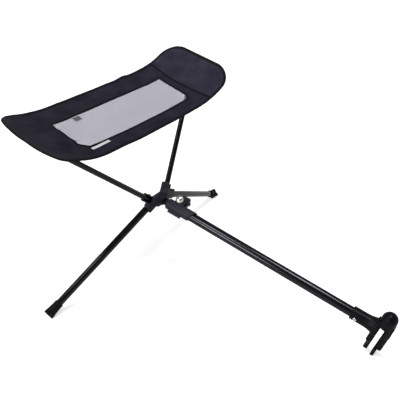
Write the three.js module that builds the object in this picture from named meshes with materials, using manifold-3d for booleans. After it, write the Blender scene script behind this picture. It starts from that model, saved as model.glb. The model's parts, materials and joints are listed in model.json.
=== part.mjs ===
// Clip-on camping chair footrest: a sling on two poles, two folding legs and a telescoping arm with a fork clip.
// Millimetres, +Z up. +X runs along the sling, -Y points to the chair that the clip hooks on.
// Everything is placed from the hub's centre, and the whole is then lifted so that it stands on z = 0.
import * as THREE from 'three';
import { mergeVertices } from 'three/addons/utils/BufferGeometryUtils.js';
import Module from 'manifold-3d';

const wasm = await Module();
wasm.setup();

// Driving dimensions: the frame
const hubHeight = 150;
const tubeGap = 0.3;
const cutOverrun = 40;
const pivotSpread = 19;

const poleDiameter = 11;
const poleWall = 1;
const poleEnd = 272;
const poleOut = 206;
const poleBack = 79;
const poleUp = 192;
const poleStart = 9.5;
const polePinAt = 17;
const poleRim = 25;
const capSpigot = 14;
const capHead = 3;
const capCrownShare = 0.6;

const legDiameter = 14;
const legWall = 1.1;
const legEnd = 301.5;
const legOut = 261;
const legBack = 50;
const footStand = 7.3;
const legPinAt = 14;
const legRim = 22;
const legTubeStart = 19;
const eyeShank = 20;
const eyeRoundShare = 1.18;

const poleSocketWall = 3;
const legSocketWall = 1.5;
const podBackWall = 3.5;
const podCorner = 2.6;
const podTail = 8;
const legPodTop = 12;
const legPodFront = 13;
const legPodNose = 4.2;
const legPodShoulder = 6;
const legPodCheek = 7.5;
const legPodBack = 0.5;
const legPodTail = 15.5;
const legEarBack = 6;
const legEarEnd = 4;
const pinDiameter = 4;
const pinHeadDiameter = 7;
const pinHeadHeight = 1.2;
const pinCrownShare = 0.7;

const bridgeFront = 13;
const bridgeBack = 6;
const bridgeHeight = 19.6;
const bridgeCorner = 3.5;

const armDiameter = 19;
const armWall = 1.2;
const armStart = 39;
const armEnd = 482;
const rodDiameter = 14;
const rodWall = 2;
const rodShortfall = 76;
const rodRoot = -3;
const bossEnd = 15;
const bossDiameter = 19.4;
const glideLength = 14;
const glideWall = 2.5;
const plugHead = 3;

// Driving dimensions: the clamp on the arm
const sleeveStart = 25;
const sleeveEnd = 85.5;
const sleeveEndLeanDegrees = 29;
const sleeveDiameter = 23.4;
const sleeveChamfer = 1;
const clampRollDegrees = 40;
const slitWidth = 3;
const slitEnd = 70;
const boltAt = 47;
const boltHeight = 18.5;
const boltDiameter = 6;
const earRadius = 7.8;
const earThickness = 6;
const ribStart = 33;
const ribEnd = 63;
const ribHeight = 4.2;
const ribWidth = 7;
const capDiameter = 16;
const capHeight = 5;
const washerThickness = 1.2;
const knobDiameter = 26;
const knobLobes = 6;
const knobLobeDepth = 2.2;
const knobThickness = 13;
const knobNeckDiameter = 15;
const knobNeckLength = 6;

// Driving dimensions: the fork clip at the arm's end
const collarStart = 443;
const collarDiameter = 25;
const collarMouthChamfer = 1;
const collarFlare = 4.5;
const collarFlareLength = 24;
const collarFlarePower = 2.5;
const barrelAt = 504.5;
const barrelDiameter = 28.2;
const barrelTop = 43;
const clipDrop = 59.91;
const slotWidth = 8.6;
const slotCeiling = 9;
const slotOffset = 2.5;
const slotLeanDegrees = 4;
const linerThickness = 2;
const linerHalfWidth = 8;
const linerInnerTip = 8.2;
const linerOuterTip = 6.2;
const linerTipRadius = 2.6;
const linerBevel = 0.6;
const linerSink = 1.2;
const innerProngClearance = 23.9;
const outerPadLength = 19.9;
const innerLinerClearance = 6.4;
const prongHalfWidth = 9;
const innerProngThickness = 8.6;
const outerProngThickness = 10;
const prongEndRadius = 4;
const clipScrewAt = 453.5;
const clipScrewRollDegrees = 12;
const clipScrewHead = 7.6;
const clipScrewShank = 4;
const clipScrewSink = 1.6;
const screwSlotWidth = 1.2;
const screwSlotDepth = 0.9;
const screwCrownShare = 0.8;

// Driving dimensions: the feet
const footLength = 31;
const footTopDiameter = 17;
const footWaistDiameter = 19.4;
const footRimDiameter = 25.6;
const footRimHeight = 7;
const footLobes = 4;
const footLobeDepth = 3;
const footLobeTurnDegrees = 8;
const footRimBevel = 1;
const footFloor = 4;

// Driving dimensions: the sling
const slingOverhang = 51.4;
const slingHalfWidth = 88.5;
const slingEndNarrowing = 2;
const slingCornerRadius = 42;
const slingEndRise = 49;
const slingCurlPower = 5;
const slingTiltDegrees = 12;
const slingShiftBack = 8.2;
const slingAboveTip = 13.4;
const clothThickness = 1.6;
const bindingDiameter = 4;
const bindingGrip = 1.4;
const bindingBulgeShare = 1.2;
const windowHalfLength = 153.9;
const windowHalfWidth = 38;
const windowShiftFront = 6.2;
const windowChamfer = 9;
const meshThickness = 1;
const panelSeamAt = 177;
const boardThickness = 1.6;
const boardInset = 9;
const boardCornerRadius = 34;
const pocketLength = 34;
const pocketDiameter = 16.4;
const pocketFloor = 3;
const pocketFlangeWidth = 26;
const labelLength = 50;
const labelWidth = 6;
const labelFromCorner = 27.2;
const labelFromWindow = 18.4;
const tagLength = 17;
const tagWidth = 8;
const tagFromCorner = 55.9;
const patchGap = 0.5;
const patchThickness = 0.6;

const roundSteps = 24;
const fineSteps = 14;
const domeSteps = 6;
const knobLobeSteps = 8;
const footLobeSteps = 10;
const flareSteps = 6;
const roundCornerSteps = 4;
const endCount = 3;
const cornerCount = 6;
const sideCount = 9;
const meshColumns = 24;
const meshRows = 4;
const boardColumnCount = 14;
const boardRows = 8;
const patchColumns = 6;
const ringCount = (endCount + cornerCount + sideCount) * 4;

const black = new THREE.Color(0x141318);
const plasticBlack = new THREE.Color(0x1b1a20);
const rubberBlack = new THREE.Color(0x18171b);
const clothBlack = new THREE.Color(0x25242c);
const bindingBlack = new THREE.Color(0x141319);
const meshGrey = new THREE.Color(0xaeadb8);
const steelBright = new THREE.Color(0xc9c4c4);
const patchGrey = new THREE.Color(0xd9d9de);

const finishes = {
  tube: { color: black, roughness: 0.25, metalness: 0.2 },
  plastic: { color: plasticBlack, roughness: 0.5, metalness: 0 },
  rubber: { color: rubberBlack, roughness: 0.8, metalness: 0 },
  cloth: { color: clothBlack, roughness: 0.9, metalness: 0 },
  binding: { color: bindingBlack, roughness: 0.8, metalness: 0 },
  mesh: { color: meshGrey, roughness: 0.8, metalness: 0 },
  steel: { color: steelBright, roughness: 0.25, metalness: 1 },
  patch: { color: patchGrey, roughness: 0.8, metalness: 0 },
};

function toSolid(geometry) {
  const bare = geometry.clone();
  bare.deleteAttribute('normal');
  bare.deleteAttribute('uv');
  const merged = mergeVertices(bare);
  const vertProperties = merged.attributes.position.array;
  const triVerts = merged.index.array;
  return new wasm.Manifold(new wasm.Mesh({ numProp: 3, vertProperties, triVerts }));
}

function toGeometry(solid) {
  const result = solid.getMesh();
  const geometry = new THREE.BufferGeometry();
  geometry.setAttribute('position', new THREE.BufferAttribute(new Float32Array(result.vertProperties), 3));
  geometry.setIndex(new THREE.BufferAttribute(new Uint32Array(result.triVerts), 1));
  geometry.computeVertexNormals();
  return geometry;
}

function join(first, ...others) {
  return toGeometry(others.reduce((sum, each) => sum.add(toSolid(each)), toSolid(first)));
}

function cut(body, ...tools) {
  return toGeometry(tools.reduce((rest, each) => rest.subtract(toSolid(each)), toSolid(body)));
}

function common(first, second) {
  return toGeometry(toSolid(first).intersect(toSolid(second)));
}

function named(name, geometry, finish) {
  const mesh = new THREE.Mesh(geometry, new THREE.MeshStandardMaterial(finishes[finish]));
  mesh.name = name;
  return mesh;
}

// A box given by its lowest and highest corners.
function block(low, high) {
  const size = high.map((value, axis) => value - low[axis]);
  const middle = high.map((value, axis) => (value + low[axis]) / 2);
  return new THREE.BoxGeometry(...size).translate(...middle);
}

// A turned solid about +Z, from [radius, height] pairs that start and end on the axis.
function turned(profile, steps = roundSteps) {
  const points = profile.map(([radius, height]) => new THREE.Vector2(radius, height));
  return new THREE.LatheGeometry(points, steps).rotateX(Math.PI / 2);
}

function disc(radius, from, to, steps = roundSteps) {
  return turned([[0, from], [radius, from], [radius, to], [0, to]], steps);
}

function pipe(outer, inner, from, to, steps = roundSteps) {
  return turned([[inner, from], [outer, from], [outer, to], [inner, to], [inner, from]], steps);
}

// The same disc along +X, for cross holes and pins.
function crossDisc(radius, from, to, steps = fineSteps) {
  return disc(radius, from, to, steps).rotateY(Math.PI / 2);
}

// Rounded rectangle centred on the origin.
function roundedOutline(halfWidth, halfHeight, corner) {
  const shape = new THREE.Shape();
  shape.moveTo(corner - halfWidth, -halfHeight);
  shape.lineTo(halfWidth - corner, -halfHeight);
  shape.absarc(halfWidth - corner, corner - halfHeight, corner, -Math.PI / 2, 0);
  shape.lineTo(halfWidth, halfHeight - corner);
  shape.absarc(halfWidth - corner, halfHeight - corner, corner, 0, Math.PI / 2);
  shape.lineTo(corner - halfWidth, halfHeight);
  shape.absarc(corner - halfWidth, halfHeight - corner, corner, Math.PI / 2, Math.PI);
  shape.lineTo(-halfWidth, corner - halfHeight);
  shape.absarc(corner - halfWidth, corner - halfHeight, corner, Math.PI, Math.PI * 1.5);
  return shape;
}

function bevelled(shape, depth, bevel, curveSegments = 3) {
  return new THREE.ExtrudeGeometry(shape, {
    depth: depth - bevel * 2,
    bevelEnabled: bevel > 0,
    bevelThickness: bevel,
    bevelSize: bevel,
    bevelOffset: -bevel,
    bevelSegments: 1,
    curveSegments,
  }).translate(0, 0, bevel);
}

// The directions of the right-hand pole and leg, and the plane that holds both.
const legDown = hubHeight - footStand;
const poleDirection = new THREE.Vector3(poleOut, poleBack, poleUp).normalize();
const legDirection = new THREE.Vector3(legOut, legBack, -legDown).normalize();
const podNormal = poleDirection.clone().cross(legDirection).normalize();

function mirrored(vector, side) {
  return new THREE.Vector3(vector.x * side, vector.y, vector.z);
}

// A tube's own frame: +Z along the tube, +Y out of the pod's back, origin at the pivot.
function tubeFrame(direction, side) {
  const along = mirrored(direction, side);
  const back = mirrored(podNormal, side);
  const across = back.clone().cross(along).normalize();
  const frame = new THREE.Matrix4().makeBasis(across, back, along);
  return frame.setPosition(pivotSpread * side, 0, 0);
}

function placed(mesh, frame) {
  mesh.applyMatrix4(frame);
  return mesh;
}

// The arm slopes down so that the clip, which reaches clipDrop below the arm's axis, stands on the floor.
const armSlope = Math.asin(hubHeight / Math.hypot(barrelAt, clipDrop)) - Math.atan2(clipDrop, barrelAt);
const clampRoll = THREE.MathUtils.degToRad(clampRollDegrees);
const clipScrewRoll = THREE.MathUtils.degToRad(clipScrewRollDegrees);
const rodEnd = armEnd - rodShortfall;

// The arm's own frame: +Z along the arm, +Y up and square to it, +X as the whole.
const armFrame = new THREE.Matrix4().makeRotationX(Math.PI / 2 + armSlope);
const clampFrame = armFrame.clone().multiply(new THREE.Matrix4().makeRotationZ(-clampRoll));

const poleRadius = poleDiameter / 2;
const legRadius = legDiameter / 2;
const armRadius = armDiameter / 2;
const rodRadius = rodDiameter / 2;
const pinRadius = pinDiameter / 2;
const poleSlot = poleRadius + tubeGap;
const legSlot = legRadius + tubeGap;

function podBlock(halfWidth, front, back, rim) {
  const outline = roundedOutline(halfWidth, (front + back) / 2, podCorner);
  return bevelled(outline, rim + podTail, podCorner / 4).translate(0, (back - front) / 2, -podTail);
}

function polePod() {
  return podBlock(poleSlot + poleSocketWall, poleRadius + poleSocketWall / 2, poleSlot + podBackWall, poleRim);
}

// The leg's pod stands proud in front and above, with ears about the pin behind; upper is its upper side in X.
function legPod(upper) {
  const half = legSlot + legSocketWall;
  const section = [
    [half, legPodBack], [legPodTop, -legPodShoulder], [legPodTop, -legPodFront], [-legPodNose, -legPodFront],
    [-half, -legPodCheek], [-half, legPodBack],
  ];
  const shape = new THREE.Shape(section.map(([x, y]) => new THREE.Vector2(x * upper, y)));
  const body = bevelled(shape, legPodTail + legRim, podCorner / 4).translate(0, 0, -legPodTail);
  const earOutline = roundedOutline(half, (legSlot + legEarBack) / 2, podCorner);
  const ears = bevelled(earOutline, legPinAt + legEarEnd, podCorner / 4);
  return join(body, ears.translate(0, (legEarBack - legSlot) / 2, 0));
}

// The pole's seat is open to the front, the leg's to the back, where the leg swings out.
function poleSeat() {
  const low = [-poleSlot, -cutOverrun, poleStart - tubeGap];
  const high = [poleSlot, 0, poleRim + cutOverrun];
  const hollow = disc(poleSlot, poleStart - tubeGap, poleRim + cutOverrun);
  return join(block(low, high), hollow);
}

function legSeat() {
  const low = [-legSlot, -legSlot, legPinAt];
  const high = [legSlot, cutOverrun, legRim + cutOverrun];
  const heel = crossDisc(legSlot, -legSlot, legSlot).translate(0, 0, legPinAt);
  const heelRoom = block([-legSlot, 0, legPinAt - legSlot], [legSlot, cutOverrun, legPinAt]);
  return join(block(low, high), heel, heelRoom);
}

// A pin's hole from its head's side, blind in the far wall.
function pinHole(at, slot, wall, headSide) {
  const far = -(slot + wall / 2) * headSide;
  const ends = [far, cutOverrun * headSide].sort((a, b) => a - b);
  return crossDisc(pinRadius + tubeGap / 2, ...ends).translate(0, 0, at);
}

function hubBody() {
  const depth = bridgeFront + bridgeBack;
  const outline = roundedOutline(pivotSpread, bridgeHeight / 2, bridgeCorner);
  const bridge = bevelled(outline, depth, podCorner / 2).rotateX(Math.PI / 2).translate(0, bridgeBack, 0);
  const boss = disc(bossDiameter / 2, 0, bossEnd).applyMatrix4(armFrame);
  const solids = [boss];
  const hollows = [disc(rodRadius + tubeGap, rodRoot - tubeGap, cutOverrun).applyMatrix4(armFrame)];
  hollows.push(disc(pinRadius + tubeGap / 2, -cutOverrun, cutOverrun, fineSteps));
  for (const side of [1, -1]) {
    const poleFrame = tubeFrame(poleDirection, side);
    const legFrame = tubeFrame(legDirection, side);
    solids.push(polePod().applyMatrix4(poleFrame), legPod(-side).applyMatrix4(legFrame));
    hollows.push(poleSeat().applyMatrix4(poleFrame), legSeat().applyMatrix4(legFrame));
    hollows.push(pinHole(polePinAt, poleSlot, poleSocketWall, -side).applyMatrix4(poleFrame));
    hollows.push(pinHole(legPinAt, legSlot, legSocketWall, side).applyMatrix4(legFrame));
  }
  return cut(join(bridge, ...solids), ...hollows);
}

// A pin across a tube's slot, with its head outside one wall and its tail in the other.
function headedPin(at, slot, wall, headSide) {
  const head = pinHeadDiameter / 2;
  const seat = slot + wall + tubeGap;
  const top = seat + pinHeadHeight;
  const tail = tubeGap - slot - wall / 2;
  const profile = [
    [0, tail], [pinRadius, tail], [pinRadius, seat], [head, seat],
    [head, seat + pinHeadHeight / 2], [head * pinCrownShare, top], [0, top],
  ];
  return turned(profile, fineSteps).rotateY((Math.PI / 2) * headSide).translate(0, 0, at);
}

function poleTube() {
  const shell = pipe(poleRadius, poleRadius - poleWall, poleStart, poleEnd);
  return cut(shell, crossDisc(pinRadius + tubeGap / 2, -poleDiameter, poleDiameter).translate(0, 0, polePinAt));
}

function poleCap() {
  const spigot = poleRadius - poleWall - tubeGap;
  const seat = poleEnd + tubeGap;
  const profile = [
    [0, poleEnd - capSpigot], [spigot, poleEnd - capSpigot], [spigot, seat], [poleRadius, seat],
    [poleRadius, seat + capHead / 2], [poleRadius * capCrownShare, seat + capHead], [0, seat + capHead],
  ];
  return turned(profile, fineSteps);
}

function legTube() {
  return pipe(legRadius, legRadius - legWall, legTubeStart, legEnd - footFloor - tubeGap);
}

// The solid eye that turns on the leg's pin, with a shank inside the tube.
function legEye() {
  const shape = new THREE.Shape();
  const radius = legRadius - tubeGap;
  const neck = legTubeStart - tubeGap;
  shape.moveTo(neck, radius);
  shape.lineTo(legPinAt, radius);
  shape.absarc(legPinAt, 0, radius, Math.PI / 2, Math.PI * 1.5);
  shape.lineTo(neck, -radius);
  shape.closePath();
  const depth = radius * 2;
  const tongue = new THREE.ExtrudeGeometry(shape, { depth, bevelEnabled: false, curveSegments: 10 });
  tongue.translate(0, 0, -depth / 2).rotateY(-Math.PI / 2);
  const slimmed = common(tongue, disc(radius * eyeRoundShare, 0, neck + cutOverrun));
  const shank = disc(legRadius - legWall - tubeGap, legPinAt + radius / 2, legTubeStart + eyeShank, fineSteps);
  const hole = crossDisc(pinRadius + tubeGap / 2, -legDiameter, legDiameter).translate(0, 0, legPinAt);
  return cut(join(slimmed, shank), hole);
}

// Star outline of the foot's rim: a circle with shallow hollows between its lobes.
function lobedOutline(radius, lobes, lobeDepth, steps) {
  const shape = new THREE.Shape();
  for (let step = 0; step < steps; step += 1) {
    const angle = (step / steps) * Math.PI * 2;
    const reach = radius - (lobeDepth * (1 - Math.cos(angle * lobes))) / 2;
    const x = reach * Math.cos(angle);
    const y = reach * Math.sin(angle);
    if (step === 0) shape.moveTo(x, y);
    else shape.lineTo(x, y);
  }
  shape.closePath();
  return shape;
}

// Everything below the floor, to cut what stands on it flat.
function belowGround() {
  const room = armEnd * 2;
  return block([-room, -room, -room], [room, room, -hubHeight]);
}

function foot(side) {
  const start = legEnd - footLength;
  const rimStart = legEnd - footRimHeight;
  const body = turned([
    [0, start], [footTopDiameter / 2, start], [footWaistDiameter / 2, rimStart], [footWaistDiameter / 2, legEnd],
    [0, legEnd],
  ]);
  const star = lobedOutline(footRimDiameter / 2, footLobes, footLobeDepth, footLobes * footLobeSteps);
  const turn = THREE.MathUtils.degToRad(footLobeTurnDegrees) * side;
  const rim = bevelled(star, footRimHeight, footRimBevel).rotateZ(turn).translate(0, 0, rimStart);
  const bore = disc(legSlot, start - cutOverrun, legEnd - footFloor);
  const frame = tubeFrame(legDirection, side);
  const shell = cut(join(body, rim), bore).applyMatrix4(frame);
  return cut(shell, belowGround());
}

function innerRod() {
  const neck = rodRadius - rodWall;
  const shell = pipe(rodRadius, neck, rodRoot, rodEnd);
  const crossHole = disc(pinRadius + tubeGap / 2, -cutOverrun, cutOverrun, fineSteps);
  return cut(shell, crossHole.applyMatrix4(armFrame.clone().invert()));
}

// The plug in the rod's end has a neck past the rod, and the glide ring turns on that neck.
function rodPlug() {
  const shank = rodRadius - rodWall - tubeGap;
  const neckStart = rodEnd + tubeGap;
  const neckEnd = neckStart + glideLength + tubeGap * 2;
  const neck = armRadius - armWall - tubeGap - glideWall - tubeGap;
  const head = rodRadius - tubeGap;
  const profile = [
    [0, rodEnd - glideLength], [shank, rodEnd - glideLength], [shank, neckStart], [neck, neckStart],
    [neck, neckEnd], [head, neckEnd], [head, neckEnd + plugHead], [0, neckEnd + plugHead],
  ];
  return turned(profile, fineSteps);
}

function glideRing() {
  const outer = armRadius - armWall - tubeGap;
  const start = rodEnd + tubeGap * 2;
  return pipe(outer, outer - glideWall, start, start + glideLength);
}

// The upright pin through the hub and the rod's root, with its head on top of the hub.
function rodPin() {
  const half = bridgeHeight / 2;
  const head = pinHeadDiameter / 2;
  const seat = half + tubeGap;
  const top = seat + pinHeadHeight;
  const profile = [
    [0, -half], [pinRadius, -half], [pinRadius, seat], [head, seat], [head * pinCrownShare, top], [0, top],
  ];
  return turned(profile, fineSteps);
}

function armTube() {
  const screwHole = crossDisc(clipScrewShank / 2 + tubeGap, -armDiameter, armDiameter).rotateZ(clipScrewRoll);
  return cut(pipe(armRadius, armRadius - armWall, armStart, armEnd), screwHole.translate(0, 0, clipScrewAt));
}

const sleeveRadius = sleeveDiameter / 2;
const boltRadius = boltDiameter / 2;
const earOuter = slitWidth / 2 + earThickness;
const sleeveEndLean = THREE.MathUtils.degToRad(sleeveEndLeanDegrees);
const sleeveReach = sleeveEnd + sleeveDiameter * Math.tan(sleeveEndLean);

// The clamp sleeve in its own frame: ears along +Y, bolt along +X; its far end is cut at a slant.
function clampSleeve() {
  const shell = turned([
    [0, sleeveStart], [sleeveRadius - sleeveChamfer, sleeveStart], [sleeveRadius, sleeveStart + sleeveChamfer],
    [sleeveRadius, sleeveReach], [0, sleeveReach],
  ]);
  const beyond = block([-cutOverrun, -cutOverrun, 0], [cutOverrun, cutOverrun, cutOverrun]);
  beyond.rotateX(sleeveEndLean).translate(0, 0, sleeveEnd);
  const earDisc = crossDisc(earRadius, -earOuter, earOuter).translate(0, boltHeight, boltAt);
  const earRoot = block([-earOuter, 0, boltAt - earRadius], [earOuter, boltHeight, boltAt + earRadius]);
  const half = ribWidth / 2;
  const rib = block([-half, -sleeveRadius - ribHeight, ribStart], [half, 0, ribEnd]);
  const rodBore = disc(rodRadius + tubeGap, sleeveStart - cutOverrun, armStart);
  const tubeBore = disc(armRadius + tubeGap, armStart - tubeGap, sleeveReach + cutOverrun);
  const slitHalf = slitWidth / 2;
  const slit = block([-slitHalf, 0, sleeveStart - cutOverrun], [slitHalf, boltHeight + cutOverrun, slitEnd]);
  const boltHole = crossDisc(boltRadius + tubeGap, -cutOverrun, cutOverrun).translate(0, boltHeight, boltAt);
  return cut(join(shell, earDisc, earRoot, rib), beyond, rodBore, tubeBore, slit, boltHole);
}

const boltHeadStart = earOuter + tubeGap * 2 + washerThickness;
const knobStart = earOuter + tubeGap;
const knobHeadStart = knobStart + knobNeckLength;
const knobEnd = knobHeadStart + knobThickness;

function clampBolt() {
  const dome = [];
  for (let step = 0; step <= domeSteps; step += 1) {
    const angle = (step / domeSteps) * (Math.PI / 2);
    dome.push([(capDiameter / 2) * Math.sin(angle), -boltHeadStart - capHeight * Math.cos(angle)]);
  }
  const reach = knobHeadStart + knobThickness / 2;
  const profile = [...dome, [boltRadius, -boltHeadStart], [boltRadius, reach], [0, reach]];
  return turned(profile, fineSteps).rotateY(Math.PI / 2).translate(0, boltHeight, boltAt);
}

function clampWasher() {
  const start = -earOuter - tubeGap - washerThickness;
  const ring = pipe(capDiameter / 2, boltRadius + tubeGap, start, start + washerThickness, fineSteps);
  return ring.rotateY(Math.PI / 2).translate(0, boltHeight, boltAt);
}

function clampKnob() {
  const neck = disc(knobNeckDiameter / 2, knobStart, knobEnd - knobLobeDepth);
  const star = lobedOutline(knobDiameter / 2, knobLobes, knobLobeDepth, knobLobes * knobLobeSteps);
  const head = bevelled(star, knobThickness, knobLobeDepth / 2).translate(0, 0, knobHeadStart);
  const bore = disc(boltRadius + tubeGap, knobStart - cutOverrun, knobHeadStart + knobThickness / 2 + tubeGap);
  const whole = cut(join(neck, head), bore);
  return whole.rotateY(Math.PI / 2).translate(0, boltHeight, boltAt);
}

const barrelRadius = barrelDiameter / 2;
const collarRadius = collarDiameter / 2;
const clipHeadSeat = collarRadius - clipScrewSink;
const slotLean = THREE.MathUtils.degToRad(slotLeanDegrees);
const slotMiddle = barrelAt - slotOffset;
const innerProngDrop = clipDrop - innerProngClearance;
const outerProngDrop = clipDrop - outerPadLength;
const innerLinerDrop = clipDrop - innerLinerClearance;

// In the arm's frame the slot opens along -Y and its floor is above the arm's axis.
function slotFrame() {
  const lean = new THREE.Matrix4().makeRotationX(slotLean);
  return lean.setPosition(0, slotCeiling, slotMiddle);
}

// Round corners at the lower end of a blade whose sides are at from and to.
function bladeEnd(shape, from, to, low, radius) {
  for (let step = 0; step <= roundCornerSteps; step += 1) {
    const angle = (step / roundCornerSteps) * (Math.PI / 2);
    shape.lineTo(from + radius * (1 - Math.cos(angle)), low + radius * (1 - Math.sin(angle)));
  }
  for (let step = roundCornerSteps; step >= 0; step -= 1) {
    const angle = (step / roundCornerSteps) * (Math.PI / 2);
    shape.lineTo(to - radius * (1 - Math.cos(angle)), low + radius * (1 - Math.sin(angle)));
  }
}

// A profile in the slot's frame, with its first coordinate along the arm, as a solid about X = 0.
function sideways(shape, halfWidth, bevel) {
  return bevelled(shape, halfWidth * 2, bevel).translate(0, 0, -halfWidth).rotateY(-Math.PI / 2);
}

function prong(from, to, drop) {
  const shape = new THREE.Shape();
  shape.moveTo(from, slotCeiling);
  bladeEnd(shape, from, to, -slotCeiling - drop, prongEndRadius);
  shape.lineTo(to, slotCeiling);
  shape.closePath();
  return sideways(shape, prongHalfWidth, podCorner / 2).applyMatrix4(slotFrame());
}

function clipBody() {
  const chamfer = collarMouthChamfer;
  const flareEnd = barrelAt - barrelRadius;
  const flare = [];
  for (let step = 0; step <= flareSteps; step += 1) {
    const share = step / flareSteps;
    const swell = collarFlare * share ** collarFlarePower;
    flare.push([collarRadius + swell, flareEnd - collarFlareLength * (1 - share)]);
  }
  const collar = turned([
    [0, collarStart], [collarRadius - chamfer, collarStart], [collarRadius, collarStart + chamfer], ...flare,
    [collarRadius + collarFlare, barrelAt], [0, barrelAt],
  ]);
  const room = cutOverrun * 2;
  const cheeks = block([-barrelRadius, -room, 0], [barrelRadius, room, barrelAt + room]);
  const dome = [];
  for (let step = 0; step <= domeSteps; step += 1) {
    const angle = (step / domeSteps) * (Math.PI / 2);
    dome.push([barrelRadius * Math.cos(angle), barrelTop - barrelRadius + barrelRadius * Math.sin(angle)]);
  }
  const barrel = turned([[0, -slotCeiling], [barrelRadius, -slotCeiling], ...dome]);
  barrel.rotateX(-Math.PI / 2).translate(0, 0, barrelAt);
  const wall = slotWidth / 2 + linerThickness + tubeGap;
  const inner = prong(-wall - innerProngThickness, -wall, innerProngDrop);
  const outer = prong(wall, wall + outerProngThickness, outerProngDrop);
  const slotLow = [-cutOverrun, -cutOverrun * 3, -wall];
  const slot = block(slotLow, [cutOverrun, linerThickness + tubeGap, wall]).applyMatrix4(slotFrame());
  const bore = disc(armRadius + tubeGap, collarStart - cutOverrun, armEnd + tubeGap);
  const screwHole = crossDisc(clipScrewShank / 2 + tubeGap, -cutOverrun, cutOverrun).rotateZ(clipScrewRoll);
  const headSeat = crossDisc(clipScrewHead / 2 + tubeGap, -cutOverrun, -clipHeadSeat).rotateZ(clipScrewRoll);
  const screwRoom = [screwHole.translate(0, 0, clipScrewAt), headSeat.translate(0, 0, clipScrewAt)];
  return cut(join(common(collar, cheeks), barrel, inner, outer), slot, bore, ...screwRoom);
}

// U-shaped liner that grips the chair's bar. Its tips swell below the prongs, and the outer one reaches the floor.
function clipLiner() {
  const half = slotWidth / 2;
  const wall = half + linerThickness;
  const innerStep = -slotCeiling - innerProngDrop - tubeGap;
  const outerStep = -slotCeiling - outerProngDrop - tubeGap;
  const shape = new THREE.Shape();
  shape.moveTo(-wall, linerThickness);
  shape.lineTo(-wall, innerStep);
  bladeEnd(shape, -half - linerInnerTip, -half, -slotCeiling - innerLinerDrop, linerTipRadius);
  shape.lineTo(-half, 0);
  shape.lineTo(half, 0);
  bladeEnd(shape, half, half + linerOuterTip, -slotCeiling - clipDrop - linerSink, linerTipRadius);
  shape.lineTo(half + linerOuterTip, outerStep);
  shape.lineTo(wall, outerStep);
  shape.lineTo(wall, linerThickness);
  shape.closePath();
  const strip = sideways(shape, linerHalfWidth, linerBevel).applyMatrix4(slotFrame());
  return cut(strip.applyMatrix4(armFrame), belowGround());
}

function clipScrew() {
  const head = clipScrewHead / 2;
  const shank = clipScrewShank / 2;
  const seat = clipHeadSeat + tubeGap;
  const top = seat + head / 2;
  const end = collarRadius - tubeGap;
  const profile = [
    [0, -top], [head * screwCrownShare, -top], [head, -seat - head / 6], [head, -seat], [shank, -seat],
    [shank, end], [0, end],
  ];
  const body = turned(profile, fineSteps).rotateY(Math.PI / 2);
  const slotHalf = screwSlotWidth / 2;
  const slot = block([-top - cutOverrun, -slotHalf, -head], [screwSlotDepth - top, slotHalf, head]);
  return cut(body, slot.rotateX(Math.PI / 4)).rotateZ(clipScrewRoll).translate(0, 0, clipScrewAt);
}

// The sling's middle surface: level along its middle, curling up at both ends, and tilted about X.
const poleTip = new THREE.Vector3(pivotSpread, 0, 0).addScaledVector(poleDirection, poleEnd);
const slingHalfLength = poleTip.x + slingOverhang;
const slingMiddleY = poleTip.y + slingShiftBack;
const slingTilt = Math.tan(THREE.MathUtils.degToRad(slingTiltDegrees));

function slingCurl(x) {
  return slingEndRise * (Math.abs(x) / slingHalfLength) ** slingCurlPower;
}

const slingMiddleZ = poleTip.z + slingAboveTip - slingCurl(poleTip.x) + slingTilt * slingShiftBack;

function slingPoint(x, across, offset) {
  const y = slingMiddleY + across;
  const z = slingMiddleZ + slingCurl(x) + slingTilt * across;
  const slopeX = (slingCurlPower * slingCurl(x)) / (x === 0 ? slingHalfLength : x);
  const normal = new THREE.Vector3(-slopeX, -slingTilt, 1).normalize();
  return new THREE.Vector3(x, y, z).addScaledVector(normal, offset);
}

function slingEdgeHalf(x) {
  return slingHalfWidth - slingEndNarrowing * (x / slingHalfLength) ** 2;
}

// A closed loop of [x, across] pairs from its first quarter, which runs from the +X end to the middle of a side.
function fourfold(quarter) {
  const back = [...quarter].reverse();
  const loop = quarter.slice(0, -1);
  loop.push(...back.slice(0, -1).map(([x, y]) => [-x, y]));
  loop.push(...quarter.slice(0, -1).map(([x, y]) => [-x, -y]));
  loop.push(...back.slice(0, -1).map(([x, y]) => [x, -y]));
  return loop;
}

// Even steps from one place to another, without the last one.
function steps(from, to, count) {
  return Array.from({ length: count }, (unused, step) => {
    const share = step / count;
    return [from[0] + (to[0] - from[0]) * share, from[1] + (to[1] - from[1]) * share];
  });
}

// The sling's outline: a waisted strip with round corners, drawn in by the inset.
function slingOutline(inset) {
  const end = slingHalfLength - inset;
  const corner = slingCornerRadius - inset;
  const cornerX = slingHalfLength - slingCornerRadius;
  const cornerY = slingEdgeHalf(cornerX) - slingCornerRadius;
  const quarter = steps([end, 0], [end, cornerY], endCount);
  for (let step = 0; step < cornerCount; step += 1) {
    const angle = (step / cornerCount) * (Math.PI / 2);
    quarter.push([cornerX + corner * Math.cos(angle), cornerY + corner * Math.sin(angle)]);
  }
  for (let step = 0; step <= sideCount; step += 1) {
    const x = cornerX * (1 - step / sideCount);
    quarter.push([x, slingEdgeHalf(x) - inset]);
  }
  return fourfold(quarter);
}

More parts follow.
